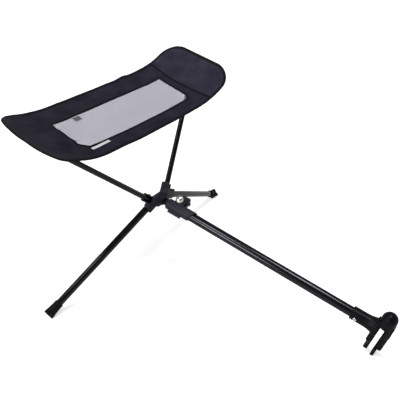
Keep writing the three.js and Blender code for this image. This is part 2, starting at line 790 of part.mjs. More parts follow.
// A closed sheet through loops of [x, across] pairs, inner one first, laid on the sling's surface.
function ringSheet(loops, low, high) {
  const count = loops[0].length;
  const rings = loops.length - 1;
  const vertices = [];
  const faces = [];
  for (const offset of [high, low]) {
    for (const loop of loops) {
      for (const [x, across] of loop) vertices.push(...slingPoint(x, across, offset));
    }
  }
  const layer = (rings + 1) * count;
  const quad = (a, b, c, d) => faces.push(a, b, c, a, c, d);
  for (let step = 0; step < count; step += 1) {
    const next = (step + 1) % count;
    for (let ring = 0; ring < rings; ring += 1) {
      const near = ring * count;
      const far = near + count;
      quad(near + step, far + step, far + next, near + next);
      quad(layer + near + step, layer + near + next, layer + far + next, layer + far + step);
    }
    const rim = rings * count;
    quad(rim + step, layer + rim + step, layer + rim + next, rim + next);
    quad(step, next, layer + next, layer + step);
  }
  return indexed(vertices, faces);
}

// The loop part of the way from one loop to another.
function between(inner, outer, share) {
  return inner.map(([x, across], step) => [
    x * (1 - share) + outer[step][0] * share,
    across * (1 - share) + outer[step][1] * share,
  ]);
}

function indexed(vertices, faces) {
  const geometry = new THREE.BufferGeometry();
  geometry.setAttribute('position', new THREE.Float32BufferAttribute(vertices, 3));
  geometry.setIndex(faces);
  geometry.computeVertexNormals();
  return geometry;
}

// A closed sheet over columns of x, each with its own lowest and highest place across.
function columnSheet(columns, rows, low, high) {
  const vertices = [];
  const faces = [];
  const width = rows + 1;
  for (const offset of [high, low]) {
    for (const [x, from, to] of columns) {
      for (let row = 0; row <= rows; row += 1) {
        vertices.push(...slingPoint(x, from + ((to - from) * row) / rows, offset));
      }
    }
  }
  const layer = columns.length * width;
  const quad = (a, b, c, d) => faces.push(a, b, c, a, c, d);
  for (let column = 0; column + 1 < columns.length; column += 1) {
    const near = column * width;
    const far = near + width;
    for (let row = 0; row < rows; row += 1) {
      quad(near + row, far + row, far + row + 1, near + row + 1);
      quad(layer + near + row, layer + near + row + 1, layer + far + row + 1, layer + far + row);
    }
    quad(near, layer + near, layer + far, far);
    quad(near + rows, far + rows, layer + far + rows, layer + near + rows);
  }
  const last = (columns.length - 1) * width;
  for (let row = 0; row < rows; row += 1) {
    quad(row, row + 1, layer + row + 1, layer + row);
    quad(last + row, layer + last + row, layer + last + row + 1, last + row + 1);
  }
  return indexed(vertices, faces);
}

const clothHalf = clothThickness / 2;

// The window's outline has as many points as the sling's, and has a point at each corner.
function windowOutline() {
  const chamferCount = 2;
  const longCount = cornerCount + sideCount - chamferCount;
  const short = [windowHalfLength, windowHalfWidth - windowChamfer];
  const long = [windowHalfLength - windowChamfer, windowHalfWidth];
  const quarter = [
    ...steps([windowHalfLength, 0], short, endCount),
    ...steps(short, long, chamferCount),
    ...steps(long, [0, windowHalfWidth], longCount),
    [0, windowHalfWidth],
  ];
  return fourfold(quarter).map(([x, across]) => [x, across - windowShiftFront]);
}

function slingCloth() {
  const inner = windowOutline();
  const hem = slingOutline(bindingGrip);
  const loops = [inner, between(inner, hem, 1 / 3), between(inner, hem, 2 / 3), hem, slingOutline(0)];
  return ringSheet(loops, -clothHalf, clothHalf);
}

function slingMesh() {
  const halfLength = windowHalfLength - tubeGap;
  const halfWidth = windowHalfWidth - tubeGap;
  const columns = [];
  for (let step = 0; step <= meshColumns; step += 1) {
    const x = halfLength * ((step * 2) / meshColumns - 1);
    const over = Math.max(0, Math.abs(x) - (halfLength - windowChamfer));
    columns.push([x, over - halfWidth - windowShiftFront, halfWidth - over - windowShiftFront]);
  }
  return columnSheet(columns, meshRows, -meshThickness / 2, meshThickness / 2);
}

// Edge tape folded round the cloth's rim: a channel section swept along the outline.
function slingBinding() {
  const radius = bindingDiameter / 2;
  const bulge = radius * bindingBulgeShare;
  const slot = clothHalf + tubeGap;
  const section = [
    [-bindingGrip, slot], [-bindingGrip, radius], [radius / 2, radius], [bulge, radius / 2],
    [bulge, -radius / 2], [radius / 2, -radius], [-bindingGrip, -radius], [-bindingGrip, -slot],
    [tubeGap, -slot], [tubeGap, slot],
  ];
  const loops = new Map();
  for (const [out] of section) loops.set(out, slingOutline(-out));
  const vertices = [];
  const faces = [];
  const sides = section.length;
  for (let step = 0; step < ringCount; step += 1) {
    for (const [out, offset] of section) vertices.push(...slingPoint(...loops.get(out)[step], offset));
  }
  for (let step = 0; step < ringCount; step += 1) {
    const next = ((step + 1) % ringCount) * sides;
    const here = step * sides;
    for (let side = 0; side < sides; side += 1) {
      const other = (side + 1) % sides;
      faces.push(here + side, next + other, next + side, here + side, here + other, next + other);
    }
  }
  return indexed(vertices, faces);
}

const boardTop = -clothHalf - tubeGap;
const boardLow = boardTop - boardThickness;

function boardColumns(side, from, to, count) {
  const columns = [];
  for (let step = 0; step <= count; step += 1) {
    const x = from + ((to - from) * step) / count;
    const past = Math.max(0, x - (to - boardCornerRadius));
    const drop = boardCornerRadius - Math.sqrt(Math.max(0, boardCornerRadius ** 2 - past ** 2));
    const half = slingEdgeHalf(x) - boardInset - drop;
    columns.push([x * side, -half, half]);
  }
  return side > 0 ? columns : columns.reverse();
}

// The stiff board sewn under each end panel.
function endBoard(side) {
  const columns = boardColumns(side, panelSeamAt, slingHalfLength - boardInset, boardColumnCount);
  return columnSheet(columns, boardRows, boardLow, boardTop);
}

// The socket under the board that takes the pole's tip; its top follows the board.
function tipPocket(side) {
  const frame = tubeFrame(poleDirection, side);
  const tipAt = poleEnd + tubeGap + capHead;
  const end = tipAt + tubeGap + pocketFloor;
  const start = end - pocketLength;
  const cup = disc(pocketDiameter / 2, start, end);
  const riser = block([-pocketFlangeWidth / 2, 0, start], [pocketFlangeWidth / 2, cutOverrun, end]);
  const bore = disc(poleRadius + tubeGap, start - cutOverrun, tipAt + tubeGap);
  const upright = new THREE.Matrix4().makeRotationZ(pocketTurn(side));
  const solid = cut(join(cup, riser.applyMatrix4(upright)), bore).applyMatrix4(frame);
  const columns = boardColumns(side, panelSeamAt - cutOverrun, slingHalfLength + cutOverrun, meshColumns);
  const wide = columns.map(([x]) => [x, -cutOverrun * 2, cutOverrun * 2]);
  const above = columnSheet(wide, meshRows, boardLow - tubeGap, cutOverrun * 4);
  return cut(solid, above);
}

// Turn about the pole that brings the socket's flange up to the board.
function pocketTurn(side) {
  const across = podNormal.clone().cross(poleDirection).normalize();
  const tip = slingPoint(poleTip.x, poleTip.y - slingMiddleY, 0);
  const above = slingPoint(poleTip.x, poleTip.y - slingMiddleY, 1).sub(tip);
  const x = above.dot(across);
  const y = above.dot(podNormal);
  return -Math.atan2(x, y) * side;
}

const patchLow = clothHalf + patchGap;

function patch(alongFrom, alongTo, from, to) {
  const columns = [];
  for (let step = 0; step <= patchColumns; step += 1) {
    columns.push([alongFrom + ((alongTo - alongFrom) * step) / patchColumns, from, to]);
  }
  return columnSheet(columns, 1, patchLow, patchLow + patchThickness);
}

function labelPatch() {
  const middle = -windowShiftFront - windowHalfWidth - labelFromWindow;
  const along = labelFromCorner - windowHalfLength;
  const half = labelLength / 2;
  return patch(along - half, along + half, middle - labelWidth / 2, middle + labelWidth / 2);
}

function sideTag() {
  const rear = windowHalfWidth - windowShiftFront;
  const along = tagFromCorner - windowHalfLength;
  return patch(along - tagLength / 2, along + tagLength / 2, rear - tagWidth, rear);
}

const footrest = new THREE.Group();
footrest.add(named('hub_body', hubBody(), 'plastic'));
for (const [side, word] of [[1, 'right'], [-1, 'left']]) {
  const poleFrame = tubeFrame(poleDirection, side);
  const legFrame = tubeFrame(legDirection, side);
  footrest.add(placed(named(`${word}_pole`, poleTube(), 'tube'), poleFrame));
  footrest.add(placed(named(`${word}_pole_pin`, headedPin(polePinAt, poleSlot, poleSocketWall, -side), 'steel'), poleFrame));
  footrest.add(placed(named(`${word}_pole_cap`, poleCap(), 'plastic'), poleFrame));
  footrest.add(placed(named(`${word}_leg`, legTube(), 'tube'), legFrame));
  footrest.add(placed(named(`${word}_leg_eye`, legEye(), 'plastic'), legFrame));
  footrest.add(placed(named(`${word}_leg_pin`, headedPin(legPinAt, legSlot, legSocketWall, side), 'steel'), legFrame));
  footrest.add(named(`${word}_foot`, foot(side), 'rubber'));
  footrest.add(named(`${word}_end_board`, endBoard(side), 'plastic'));
  footrest.add(named(`${word}_tip_pocket`, tipPocket(side), 'plastic'));
}
footrest.add(placed(named('inner_rod', innerRod(), 'tube'), armFrame));
footrest.add(placed(named('rod_plug', rodPlug(), 'plastic'), armFrame));
footrest.add(placed(named('glide_ring', glideRing(), 'plastic'), armFrame));
footrest.add(named('rod_pin', rodPin(), 'steel'));
footrest.add(placed(named('arm_tube', armTube(), 'tube'), armFrame));
footrest.add(placed(named('clamp_sleeve', clampSleeve(), 'plastic'), clampFrame));
footrest.add(placed(named('clamp_bolt', clampBolt(), 'steel'), clampFrame));
footrest.add(placed(named('clamp_washer', clampWasher(), 'steel'), clampFrame));
footrest.add(placed(named('clamp_knob', clampKnob(), 'plastic'), clampFrame));
footrest.add(placed(named('clip_body', clipBody(), 'plastic'), armFrame));
footrest.add(named('clip_liner', clipLiner(), 'rubber'));
footrest.add(placed(named('clip_screw', clipScrew(), 'steel'), armFrame));
footrest.add(named('sling_cloth', slingCloth(), 'cloth'));
footrest.add(named('sling_mesh', slingMesh(), 'mesh'));
footrest.add(named('sling_binding', slingBinding(), 'binding'));
footrest.add(named('label_patch', labelPatch(), 'patch'));
footrest.add(named('side_tag', sideTag(), 'patch'));

// The origin is the middle of the footprint, on the floor.
footrest.updateMatrixWorld(true);
const extent = new THREE.Box3().setFromObject(footrest, true);
const middle = extent.getCenter(new THREE.Vector3());
footrest.position.set(-middle.x, -middle.y, -extent.min.z);

export default footrest;
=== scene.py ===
# Looks for the clip-on camping chair footrest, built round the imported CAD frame. Metres, +Z up.
import json
import math

import bmesh
import bpy
from mathutils import Matrix, Vector, noise

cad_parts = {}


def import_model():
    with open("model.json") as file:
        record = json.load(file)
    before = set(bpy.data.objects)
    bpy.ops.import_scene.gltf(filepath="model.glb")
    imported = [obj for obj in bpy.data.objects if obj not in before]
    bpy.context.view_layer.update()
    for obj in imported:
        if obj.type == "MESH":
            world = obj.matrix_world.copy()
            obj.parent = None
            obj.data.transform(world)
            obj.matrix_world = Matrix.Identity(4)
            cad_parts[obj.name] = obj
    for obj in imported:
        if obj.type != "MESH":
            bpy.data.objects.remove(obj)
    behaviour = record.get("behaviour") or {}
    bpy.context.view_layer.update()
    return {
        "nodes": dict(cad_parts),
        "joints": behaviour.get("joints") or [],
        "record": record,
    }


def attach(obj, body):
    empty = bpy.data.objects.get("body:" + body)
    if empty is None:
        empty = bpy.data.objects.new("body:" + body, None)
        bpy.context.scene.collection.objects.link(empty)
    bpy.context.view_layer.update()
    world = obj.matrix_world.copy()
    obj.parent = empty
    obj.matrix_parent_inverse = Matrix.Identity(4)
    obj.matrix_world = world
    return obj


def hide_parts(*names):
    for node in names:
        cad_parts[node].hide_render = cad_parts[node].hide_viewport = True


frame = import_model()
nodes = frame["nodes"]
joints = {joint["name"]: joint for joint in frame["joints"]}
HUB = Vector(joints["arm_twist"]["pos_m"])
ARM_AXIS = Vector(joints["arm_twist"]["axis"])

# Camera: solved so that the part as built falls on the photo's poles, legs, arm and sling.
CAMERA_FROM_HUB = Vector((-0.7681, -0.64528, 0.60703))
CAMERA_FORWARD = Vector((0.697441, 0.491181, -0.521839))
CAMERA_ROLL = math.radians(0.5567)
CAMERA_LENS = 50.664
CAMERA_SENSOR = 36

# Tubes, as the CAD has them: the pole and the leg of a side lie in one slanted plane, mirrored about X = 0.
SIDES = ((1, "right"), (-1, "left"))
PIVOT_SPREAD = 0.019
POLE_DIRECTION = Vector((0.206, 0.079, 0.192)).normalized()
LEG_DIRECTION = Vector((0.261, 0.050, -0.1427)).normalized()
POD_NORMAL = POLE_DIRECTION.cross(LEG_DIRECTION).normalized()
POLE_START, POLE_END, POLE_RADIUS, POLE_WALL = 0.0095, 0.272, 0.0055, 0.001
LEG_START, LEG_END, LEG_RADIUS, LEG_WALL = 0.019, 0.3015, 0.007, 0.0011
ARM_START, ARM_END, ARM_RADIUS, ARM_WALL = 0.039, 0.482, 0.0095, 0.0012
ROD_START, ROD_END, ROD_RADIUS, ROD_WALL = -0.003, 0.406, 0.007, 0.002
FOOT_FLOOR = 0.004
RUNNING_GAP = 0.0003

# The clamp's bolt and knob, in the clamp's frame.
CLAMP_ROLL = math.radians(40)
BOLT_AT, BOLT_HEIGHT, BOLT_RADIUS = 0.047, 0.0185, 0.003
EAR_OUTER = 0.0075
WASHER_THICKNESS = 0.0012
CAP_RADIUS, CAP_HEIGHT = 0.008, 0.005
KNOB_RADIUS, KNOB_NECK_RADIUS, KNOB_NECK_LENGTH, KNOB_THICKNESS = 0.013, 0.0075, 0.006, 0.013
KNOB_LOBES, KNOB_LOBE_DEPTH = 6, 0.0022
KNOB_FLARE = 0.001
KNOB_CHAMFER, KNOB_CHAMFER_LENGTH, KNOB_END_CHAMFER = 0.0012, 0.0016, 0.0014
KNOB_DISH_RIM, KNOB_DISH_EDGE, KNOB_DISH_DEPTH = 0.004, 0.0052, 0.0012
KNOB_BOSS_FOOT, KNOB_BOSS_TOP, KNOB_BOSS_BELOW = 0.0042, 0.0036, 0.0004

# The sling: level in the middle, curling up at both ends and tilted about X, as in the CAD. The window's
# sizes, and the eased ends further down, follow the photo more closely than the solids do.
SLING_OVERHANG = 0.0514
SLING_HALF_WIDTH = 0.0885
SLING_END_NARROWING = 0.002
SLING_CORNER_RADIUS = 0.042
SLING_END_RISE = 0.049
SLING_CURL_POWER = 5
SLING_TILT = math.tan(math.radians(12))
SLING_SHIFT_BACK = 0.0082
SLING_ABOVE_TIP = 0.0134
WINDOW_HALF_LENGTH = 0.1539
WINDOW_REAR, WINDOW_FRONT = 0.0355, 0.0515
WINDOW_BOW = 0.0028
WINDOW_SKEW = 0.0075
WINDOW_CORNERS = (0.0012, 0.0012, 0.015, 0.0095)
BOARD_INSET = 0.009
BOARD_DROP = 0.0011
BOARD_THICKNESS = 0.0016

POLE_TIP = Vector((PIVOT_SPREAD, 0, 0)) + POLE_DIRECTION * POLE_END
SLING_HALF_LENGTH = POLE_TIP.x + SLING_OVERHANG
SLING_CORNER_X = SLING_HALF_LENGTH - SLING_CORNER_RADIUS

CLOTH_THICKNESS = 0.0011
HEM_WIDTH = 0.0044
HEM_LIFT = 0.0009
HEM_OVERLAP = 0.0022
HEM_THICKNESS = 0.0006
PANEL_LIFT = 0.0009
PANEL_THICKNESS = 0.0008
NET_PITCH = 0.0015
NET_THREAD = 0.00062
NET_THICKNESS = 0.0002
NET_UNDERLAP = 0.004
STITCH_SPACING = 0.0036
STITCH_LENGTH = 0.0025
STITCH_RADIUS = 0.00028


# Materials


WORN_STRENGTH, WORN_FROM, WORN_TO, WORN_NOISE = 0.5, 0.52, 0.6, (220, 4)


class Nodes:
    """A node tree, with short calls for what the finishes and the stage use."""

    def __init__(self, tree):
        self.tree = tree

    def node(self, kind, **settings):
        made = self.tree.nodes.new(kind)
        for key, value in settings.items():
            setattr(made, key, value)
        return made

    def link(self, source, target):
        self.tree.links.new(source, target)

    def math(self, operation, *values):
        """A sum whose terms are numbers or the outputs of other nodes."""
        made = self.node("ShaderNodeMath", operation=operation)
        for socket, value in zip(made.inputs, values):
            if isinstance(value, (int, float)):
                socket.default_value = value
            else:
                self.link(value, socket)
        return made.outputs[0]

    def span(self, value, low, high, start=0.0, end=1.0):
        """A value from start to end spread over low to high."""
        made = self.node("ShaderNodeMapRange")
        limits = {"From Min": start, "From Max": end, "To Min": low, "To Max": high}
        for socket, limit in limits.items():
            made.inputs[socket].default_value = limit
        self.link(value, made.inputs["Value"])
        return made.outputs["Result"]

    def by_ray(self, seen, mirrored, other=0.0):
        """A value for camera rays, one for glossy and transmission rays, and one for the rest."""
        path = self.node("ShaderNodeLightPath")
        total = other
        for ray, value in (("Camera", seen), ("Glossy", mirrored), ("Transmission", mirrored)):
            total = self.math("MULTIPLY_ADD", path.outputs[f"Is {ray} Ray"], value - other, total)
        return total


class Shader(Nodes):
    """A material's node tree, built round its Principled BSDF."""

    def __init__(self, name, color, roughness, metallic=0.0):
        self.material = bpy.data.materials.new(name)
        self.material.use_nodes = True
        super().__init__(self.material.node_tree)
        self.principled = self.tree.nodes["Principled BSDF"]
        self.set("Base Color", (*color, 1))
        self.set("Roughness", roughness)
        self.set("Metallic", metallic)

    def set(self, socket, value):
        self.principled.inputs[socket].default_value = value

    def place(self, stretch=(1, 1, 1), uv=False):
        """The point being shaded, in metres, or its UV."""
        where = self.node("ShaderNodeTexCoord")
        scaled = self.node("ShaderNodeMapping")
        scaled.inputs["Scale"].default_value = stretch
        self.link(where.outputs["UV" if uv else "Object"], scaled.inputs["Vector"])
        return scaled.outputs["Vector"]

    def noise(self, scale, detail, stretch=(1, 1, 1)):
        texture = self.node("ShaderNodeTexNoise")
        texture.inputs["Scale"].default_value = scale
        texture.inputs["Detail"].default_value = detail
        self.link(self.place(stretch), texture.inputs["Vector"])
        return texture.outputs["Fac"]

    def wave(self, direction, scale, uv=False, distortion=0.0):
        texture = self.node("ShaderNodeTexWave", bands_direction=direction)
        texture.inputs["Scale"].default_value = scale
        texture.inputs["Distortion"].default_value = distortion
        texture.inputs["Detail"].default_value = 1.0
        self.link(self.place(uv=uv), texture.inputs["Vector"])
        return texture.outputs["Fac"]

    def blend(self, factor, first, second):
        """A colour between two, by a 0 to 1 value."""
        made = self.node("ShaderNodeMix", data_type="RGBA")
        colors = [socket for socket in made.inputs if socket.type == "RGBA"]
        for socket, color in zip(colors, (first, second)):
            if isinstance(color, tuple):
                socket.default_value = (*color, 1)
            else:
                self.link(color, socket)
        self.link(factor, made.inputs["Factor"])
        return next(socket for socket in made.outputs if socket.type == "RGBA")

    def worn_edges(self, color, bare):
        """The colour, rubbed towards a bare one along the outer edges."""
        pointiness = self.node("ShaderNodeNewGeometry").outputs["Pointiness"]
        edge = self.span(pointiness, 0.0, WORN_STRENGTH, WORN_FROM, WORN_TO)
        return self.blend(self.math("MULTIPLY", edge, self.noise(*WORN_NOISE)), color, bare)

    def color_from(self, output):
        self.link(output, self.principled.inputs["Base Color"])

    def roughness_from(self, output):
        self.link(output, self.principled.inputs["Roughness"])

    def bump(self, height, distance, strength=1.0):
        made = self.node("ShaderNodeBump")
        made.inputs["Distance"].default_value = distance
        made.inputs["Strength"].default_value = strength
        self.link(height, made.inputs["Height"])
        self.link(made.outputs["Normal"], self.principled.inputs["Normal"])


def speckled(
    name, base, roughness, tones, tone_noise, rough_noise, rough_span, relief, relief_noise=None, ribs=None,
    level=0.5, tint=(1, 1, 1), metallic=0.0, worn=None, tone_range=None, stretch=(1, 1, 1),
):
    """A finish of two tones. A noise is a scale and a detail, and the relief is a depth and a strength."""
    shader = Shader(name, base, roughness, metallic)
    shader.set("Specular IOR Level", level)
    shader.set("Specular Tint", (*tint, 1))
    tone = shader.noise(*tone_noise)
    if tone_range:
        tone = shader.span(tone, 0.0, 1.0, *tone_range)
    color = shader.blend(tone, *tones)
    shader.color_from(shader.worn_edges(color, worn) if worn else color)
    shader.roughness_from(shader.span(shader.noise(*rough_noise, stretch=stretch), *rough_span))
    height = shader.wave("Y", ribs, distortion=0.2) if ribs else shader.noise(*relief_noise)
    shader.bump(height, *relief)
    return shader.material


def thread(name, dark, light):
    return speckled(
        name, base=light, roughness=0.6, level=0.25, tones=(dark, light), tone_noise=(400, 3),
        rough_noise=(700, 3), rough_span=(0.5, 0.7), relief=(0.00005, 0.5), relief_noise=(2500, 2),
    )


def patch_cloth(name, dark, light):
    return speckled(
        name, base=light, roughness=0.75, level=0.2, tones=(dark, light), tone_noise=(500, 4),
        rough_noise=(300, 3), rough_span=(0.65, 0.8), relief=(0.00008, 0.5), ribs=90,
    )


# How many bands a metre a wave texture has at a scale of 1.
WAVE_BANDS = 20
ROUGHNESS_SPREAD = 0.06


def weave(name, dark, light, roughness, pitch, depth):
    """Plain-woven cloth: warp and weft ribs of the given pitch, with slow changes of tone."""
    shader = Shader(name, dark, roughness)
    shader.set("Sheen Weight", 0.03)
    shader.set("Sheen Roughness", 0.5)
    shader.set("Specular IOR Level", 0.07)
    bands = 1 / (pitch * WAVE_BANDS)
    warp = shader.wave("X", bands, distortion=0.3)
    weft = shader.wave("Y", bands, distortion=0.3)
    ribs = shader.math("MAXIMUM", warp, weft)
    slow = shader.span(shader.noise(scale=28, detail=5), 0.0, 1.0, start=0.34, end=0.66)
    tone = shader.math("MULTIPLY", slow, shader.span(ribs, low=0.55, high=1.0))
    shader.color_from(shader.blend(tone, dark, light))
    shader.roughness_from(shader.span(slow, roughness - ROUGHNESS_SPREAD, roughness + ROUGHNESS_SPREAD))
    shader.bump(ribs, depth, strength=0.6)
    return shader.material


TAPE_BASE, TAPE_DARK, TAPE_LIGHT = (0.004, 0.004, 0.0055), (0.003, 0.0029, 0.0045), (0.0075, 0.0072, 0.011)


def ribbed_tape(name, direction, scale, uv):
    """Dark tape whose ribs run across the given direction, by place or by UV."""
    shader = Shader(name, TAPE_BASE, roughness=0.75)
    shader.set("Sheen Weight", 0.02)
    shader.set("Specular IOR Level", 0.08)
    ribs = shader.wave(direction, scale, uv=uv)
    tone = shader.span(ribs, low=0.2, high=0.9)
    shader.color_from(shader.blend(tone, TAPE_DARK, TAPE_LIGHT))
    shader.roughness_from(shader.span(shader.noise(scale=300, detail=3), low=0.68, high=0.84))
    shader.bump(ribs, distance=0.0001, strength=0.6)
    return shader.material


MATERIALS = {
    "black_tube": speckled(
        "powder_coat", base=(0.0035, 0.0035, 0.0045), roughness=0.2, level=0.3, tint=(0.9, 0.87, 1.0),
        tones=((0.0022, 0.0022, 0.0028), (0.004, 0.004, 0.005)), tone_noise=(35, 4),
        rough_noise=(90, 6), stretch=(1, 1, 0.4), rough_span=(0.12, 0.2),
        relief=(0.00003, 0.4), relief_noise=(900, 2),
    ),
    "hub_plastic": speckled(
        "moulded_plastic", base=(0.01, 0.01, 0.013), roughness=0.5, level=0.2,
        tones=((0.0125, 0.0113, 0.02), (0.024, 0.0216, 0.037)), tone_noise=(70, 5),
        worn=(0.05, 0.049, 0.058), rough_noise=(140, 4), rough_span=(0.42, 0.58),
        relief=(0.00005, 0.5), relief_noise=(2600, 2),
    ),
    "bright_steel": speckled(
        "bright_steel", base=(0.78, 0.72, 0.71), roughness=0.2, metallic=1.0,
        tones=((0.7, 0.64, 0.63), (0.86, 0.82, 0.8)), tone_noise=(260, 4),
        rough_noise=(300, 5), rough_span=(0.16, 0.34), relief=(0.00002, 0.4), relief_noise=(1200, 2),
    ),
    "dark_steel": speckled(
        "dark_steel", base=(0.02, 0.02, 0.023), roughness=0.35, metallic=0.6,
        tones=((0.012, 0.012, 0.014), (0.03, 0.03, 0.034)), tone_noise=(200, 4),
        rough_noise=(300, 4), rough_span=(0.3, 0.45), relief=(0.00002, 0.4), relief_noise=(1200, 2),
    ),
    "foot_rubber": speckled(
        "foot_rubber", base=(0.006, 0.006, 0.007), roughness=0.65, level=0.1,
        tones=((0.0045, 0.0043, 0.0055), (0.0095, 0.009, 0.011)), tone_noise=(120, 6),
        tone_range=(0.35, 0.75), rough_noise=(120, 4), rough_span=(0.55, 0.75),
        relief=(0.00008, 0.6), relief_noise=(1500, 3),
    ),
    "sling_fabric": weave(
        "sling_weave", (0.010, 0.0095, 0.0165), (0.023, 0.022, 0.035),
        roughness=0.85, pitch=0.0008, depth=0.00012,
    ),
    # The end panel's finer weave, lighter than the sling's: its lighter tone is painted light on the right
    # end, which wears it.
    "panel_fabric_painted_light": weave(
        "panel_weave_painted_light", (0.019, 0.0175, 0.030), (0.037, 0.034, 0.054),
        roughness=0.8, pitch=0.0006, depth=0.00007,
    ),
    "sling_netting": thread("net_thread", (0.21, 0.196, 0.27), (0.31, 0.29, 0.385)),
    "binding_tape": ribbed_tape("binding_tape", "X", scale=60, uv=True),
    "plain_tape": ribbed_tape("plain_tape", "Y", scale=60, uv=False),
    "clip_plastic": speckled(
        "clip_moulding", base=(0.004, 0.0038, 0.006), roughness=0.38, level=0.09,
        tones=((0.003, 0.0027, 0.0048), (0.0056, 0.0052, 0.0085)), tone_noise=(60, 5),
        worn=(0.03, 0.029, 0.036), rough_noise=(140, 4), rough_span=(0.3, 0.46),
        relief=(0.00004, 0.4), relief_noise=(2200, 2),
    ),
    "sewing_thread": thread("sewing_thread", (0.012, 0.012, 0.015), (0.022, 0.021, 0.027)),
    "patch_fabric": patch_cloth("label_weave", (0.55, 0.55, 0.58), (0.7, 0.7, 0.73)),
    "tag_fabric": patch_cloth("tag_weave", (0.085, 0.083, 0.1), (0.13, 0.128, 0.15)),
}


# Objects


SHARP_DEGREES = 40
WELD_REACH = 1e-6
REPLACED = set()


def added(name, mesh, slot, body="hub", finish=None, stands_for=()):
    """Puts a mesh in the scene as a piece that rides on a body, for the CAD nodes that it stands for."""
    made = bpy.data.objects.new(name, mesh)
    bpy.context.scene.collection.objects.link(made)
    mesh.materials.append(MATERIALS[finish or slot])
    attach(made, body)
    if stands_for:
        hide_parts(*stands_for)
        REPLACED.update(stands_for)
    return made


def row_faces(row_count, count, close_rows=False, close_columns=False, first=0):
    """Faces through rows of vertices, all as long, that start at a vertex number."""
    faces = []
    for row in range(row_count - (0 if close_rows else 1)):
        below = first + row * count
        above = first + (row + 1) % row_count * count
        for column in range(count - (0 if close_columns else 1)):
            following = (column + 1) % count
            faces.append((below + column, below + following, above + following, above + column))
    return faces


def mesh_from(name, vertices, faces, flip=False):
    mesh = bpy.data.meshes.new(name)
    mesh.from_pydata(vertices, [], faces)
    if flip:
        mesh.flip_normals()
    mesh.shade_smooth()
    return mesh


def grid_mesh(name, rows, flip=False, **closing):
    vertices = [point for row in rows for point in row]
    return mesh_from(name, vertices, row_faces(len(rows), len(rows[0]), **closing), flip)


def welded(mesh, sharp_degrees=SHARP_DEGREES):
    """Joins the points that fall together, turns all faces outwards and keeps the sharp edges."""
    work = bmesh.new()
    work.from_mesh(mesh)
    bmesh.ops.remove_doubles(work, verts=work.verts, dist=WELD_REACH)
    bmesh.ops.recalc_face_normals(work, faces=work.faces)
    work.to_mesh(mesh)
    work.free()
    mesh.shade_smooth()
    mesh.set_sharp_from_angle(angle=math.radians(sharp_degrees))
    return mesh


def thickened(obj, thickness):
    """Gives a sheet its thickness, half of it on either side."""
    solidify = obj.modifiers.new("thickness", "SOLIDIFY")
    solidify.thickness = thickness
    solidify.offset = 0
    return obj


# Tubes and turned pieces

TURN_STEPS = 64
FILLET_STEPS = 4
FILLET_LIMIT_SHARE = 0.45
TUBE_FILLET = 0.0004


def tube_frame(direction, side):
    """A tube's own frame: +Z along it, +Y out of the pod's back, origin at the pivot."""
    along = Vector((direction.x * side, direction.y, direction.z))
    back = Vector((POD_NORMAL.x * side, POD_NORMAL.y, POD_NORMAL.z))
    across = back.cross(along).normalized()
    turn = Matrix((across, back, along)).transposed().to_4x4()
    return Matrix.Translation(HUB + Vector((PIVOT_SPREAD * side, 0, 0))) @ turn


ARM_FRAME = Matrix.Translation(HUB) @ Matrix.Rotation(math.pi / 2 + math.asin(-ARM_AXIS.z), 4, "X")
CLAMP_FRAME = ARM_FRAME @ Matrix.Rotation(-CLAMP_ROLL, 4, "Z")
BOLT_PLACE = Matrix.Translation((0, BOLT_HEIGHT, BOLT_AT))
BOLT_FRAME = CLAMP_FRAME @ BOLT_PLACE @ Matrix.Rotation(math.pi / 2, 4, "Y")


def filleted(profile, radius):
    """A line of (radius, along, lobe depth) points with the corners between its ends rounded."""
    points = [Vector((*point, 0)[:3]) for point in profile]
    rounded = [points[0]]
    for before, corner, after in zip(points, points[1:], points[2:]):
        back, onward = before - corner, after - corner
        start = corner + back.normalized() * min(radius, back.length * FILLET_LIMIT_SHARE)
        end = corner + onward.normalized() * min(radius, onward.length * FILLET_LIMIT_SHARE)
        for step in range(FILLET_STEPS + 1):
            share = step / FILLET_STEPS
            rounded.append(start.lerp(corner, share).lerp(corner.lerp(end, share), share))
    return rounded + [points[-1]]


def turned(name, profile, turn_frame, fillet=TUBE_FILLET, lobes=0, lobe_turn=0.0, floor_cut=False):
    """A turned mesh from (radius, along) points; a third number is the depth of the hollows between lobes."""
    rows = []
    for reach, along, depth in filleted(profile, fillet):
        row = []
        for step in range(TURN_STEPS):
            angle = step / TURN_STEPS * math.tau
            radius = reach - depth * (1 - math.cos(lobes * (angle - lobe_turn))) / 2
            point = turn_frame @ Vector((radius * math.cos(angle), radius * math.sin(angle), along))
            if floor_cut:
                point.z = max(point.z, 0)
            row.append(point)
        rows.append(row)
    return welded(grid_mesh(name, rows, close_columns=True))


def turned_piece(name, stands_for, profile, turn_frame, slot, body="hub", **shape):
    """A turned piece in place of one CAD node."""
    return added(name, turned(name, profile, turn_frame, **shape), slot, body, stands_for=[stands_for])


def tube_profile(radius, wall, start, end):
    inner = radius - wall
    middle = (start + end) / 2
    return [(inner, middle), (inner, start), (radius, start), (radius, end), (inner, end), (inner, middle)]


def tubes():
    pole = tube_profile(POLE_RADIUS, POLE_WALL, POLE_START, POLE_END)
    leg = tube_profile(LEG_RADIUS, LEG_WALL, LEG_START, LEG_END - FOOT_FLOOR - RUNNING_GAP)
    rod = tube_profile(ROD_RADIUS, ROD_WALL, ROD_START, ROD_END)
    arm = tube_profile(ARM_RADIUS, ARM_WALL, ARM_START, ARM_END)
    for side, word in SIDES:
        pole_frame, leg_frame = tube_frame(POLE_DIRECTION, side), tube_frame(LEG_DIRECTION, side)
        turned_piece(f"{word}_pole_tube", f"{word}_pole", pole, pole_frame, "black_tube")
        turned_piece(f"{word}_leg_tube", f"{word}_leg", leg, leg_frame, "black_tube", f"{word}_leg_body")
    turned_piece("rod_tube", "inner_rod", rod, ARM_FRAME, "black_tube")
    turned_piece("arm_outer_tube", "arm_tube", arm, ARM_FRAME, "black_tube", "arm")


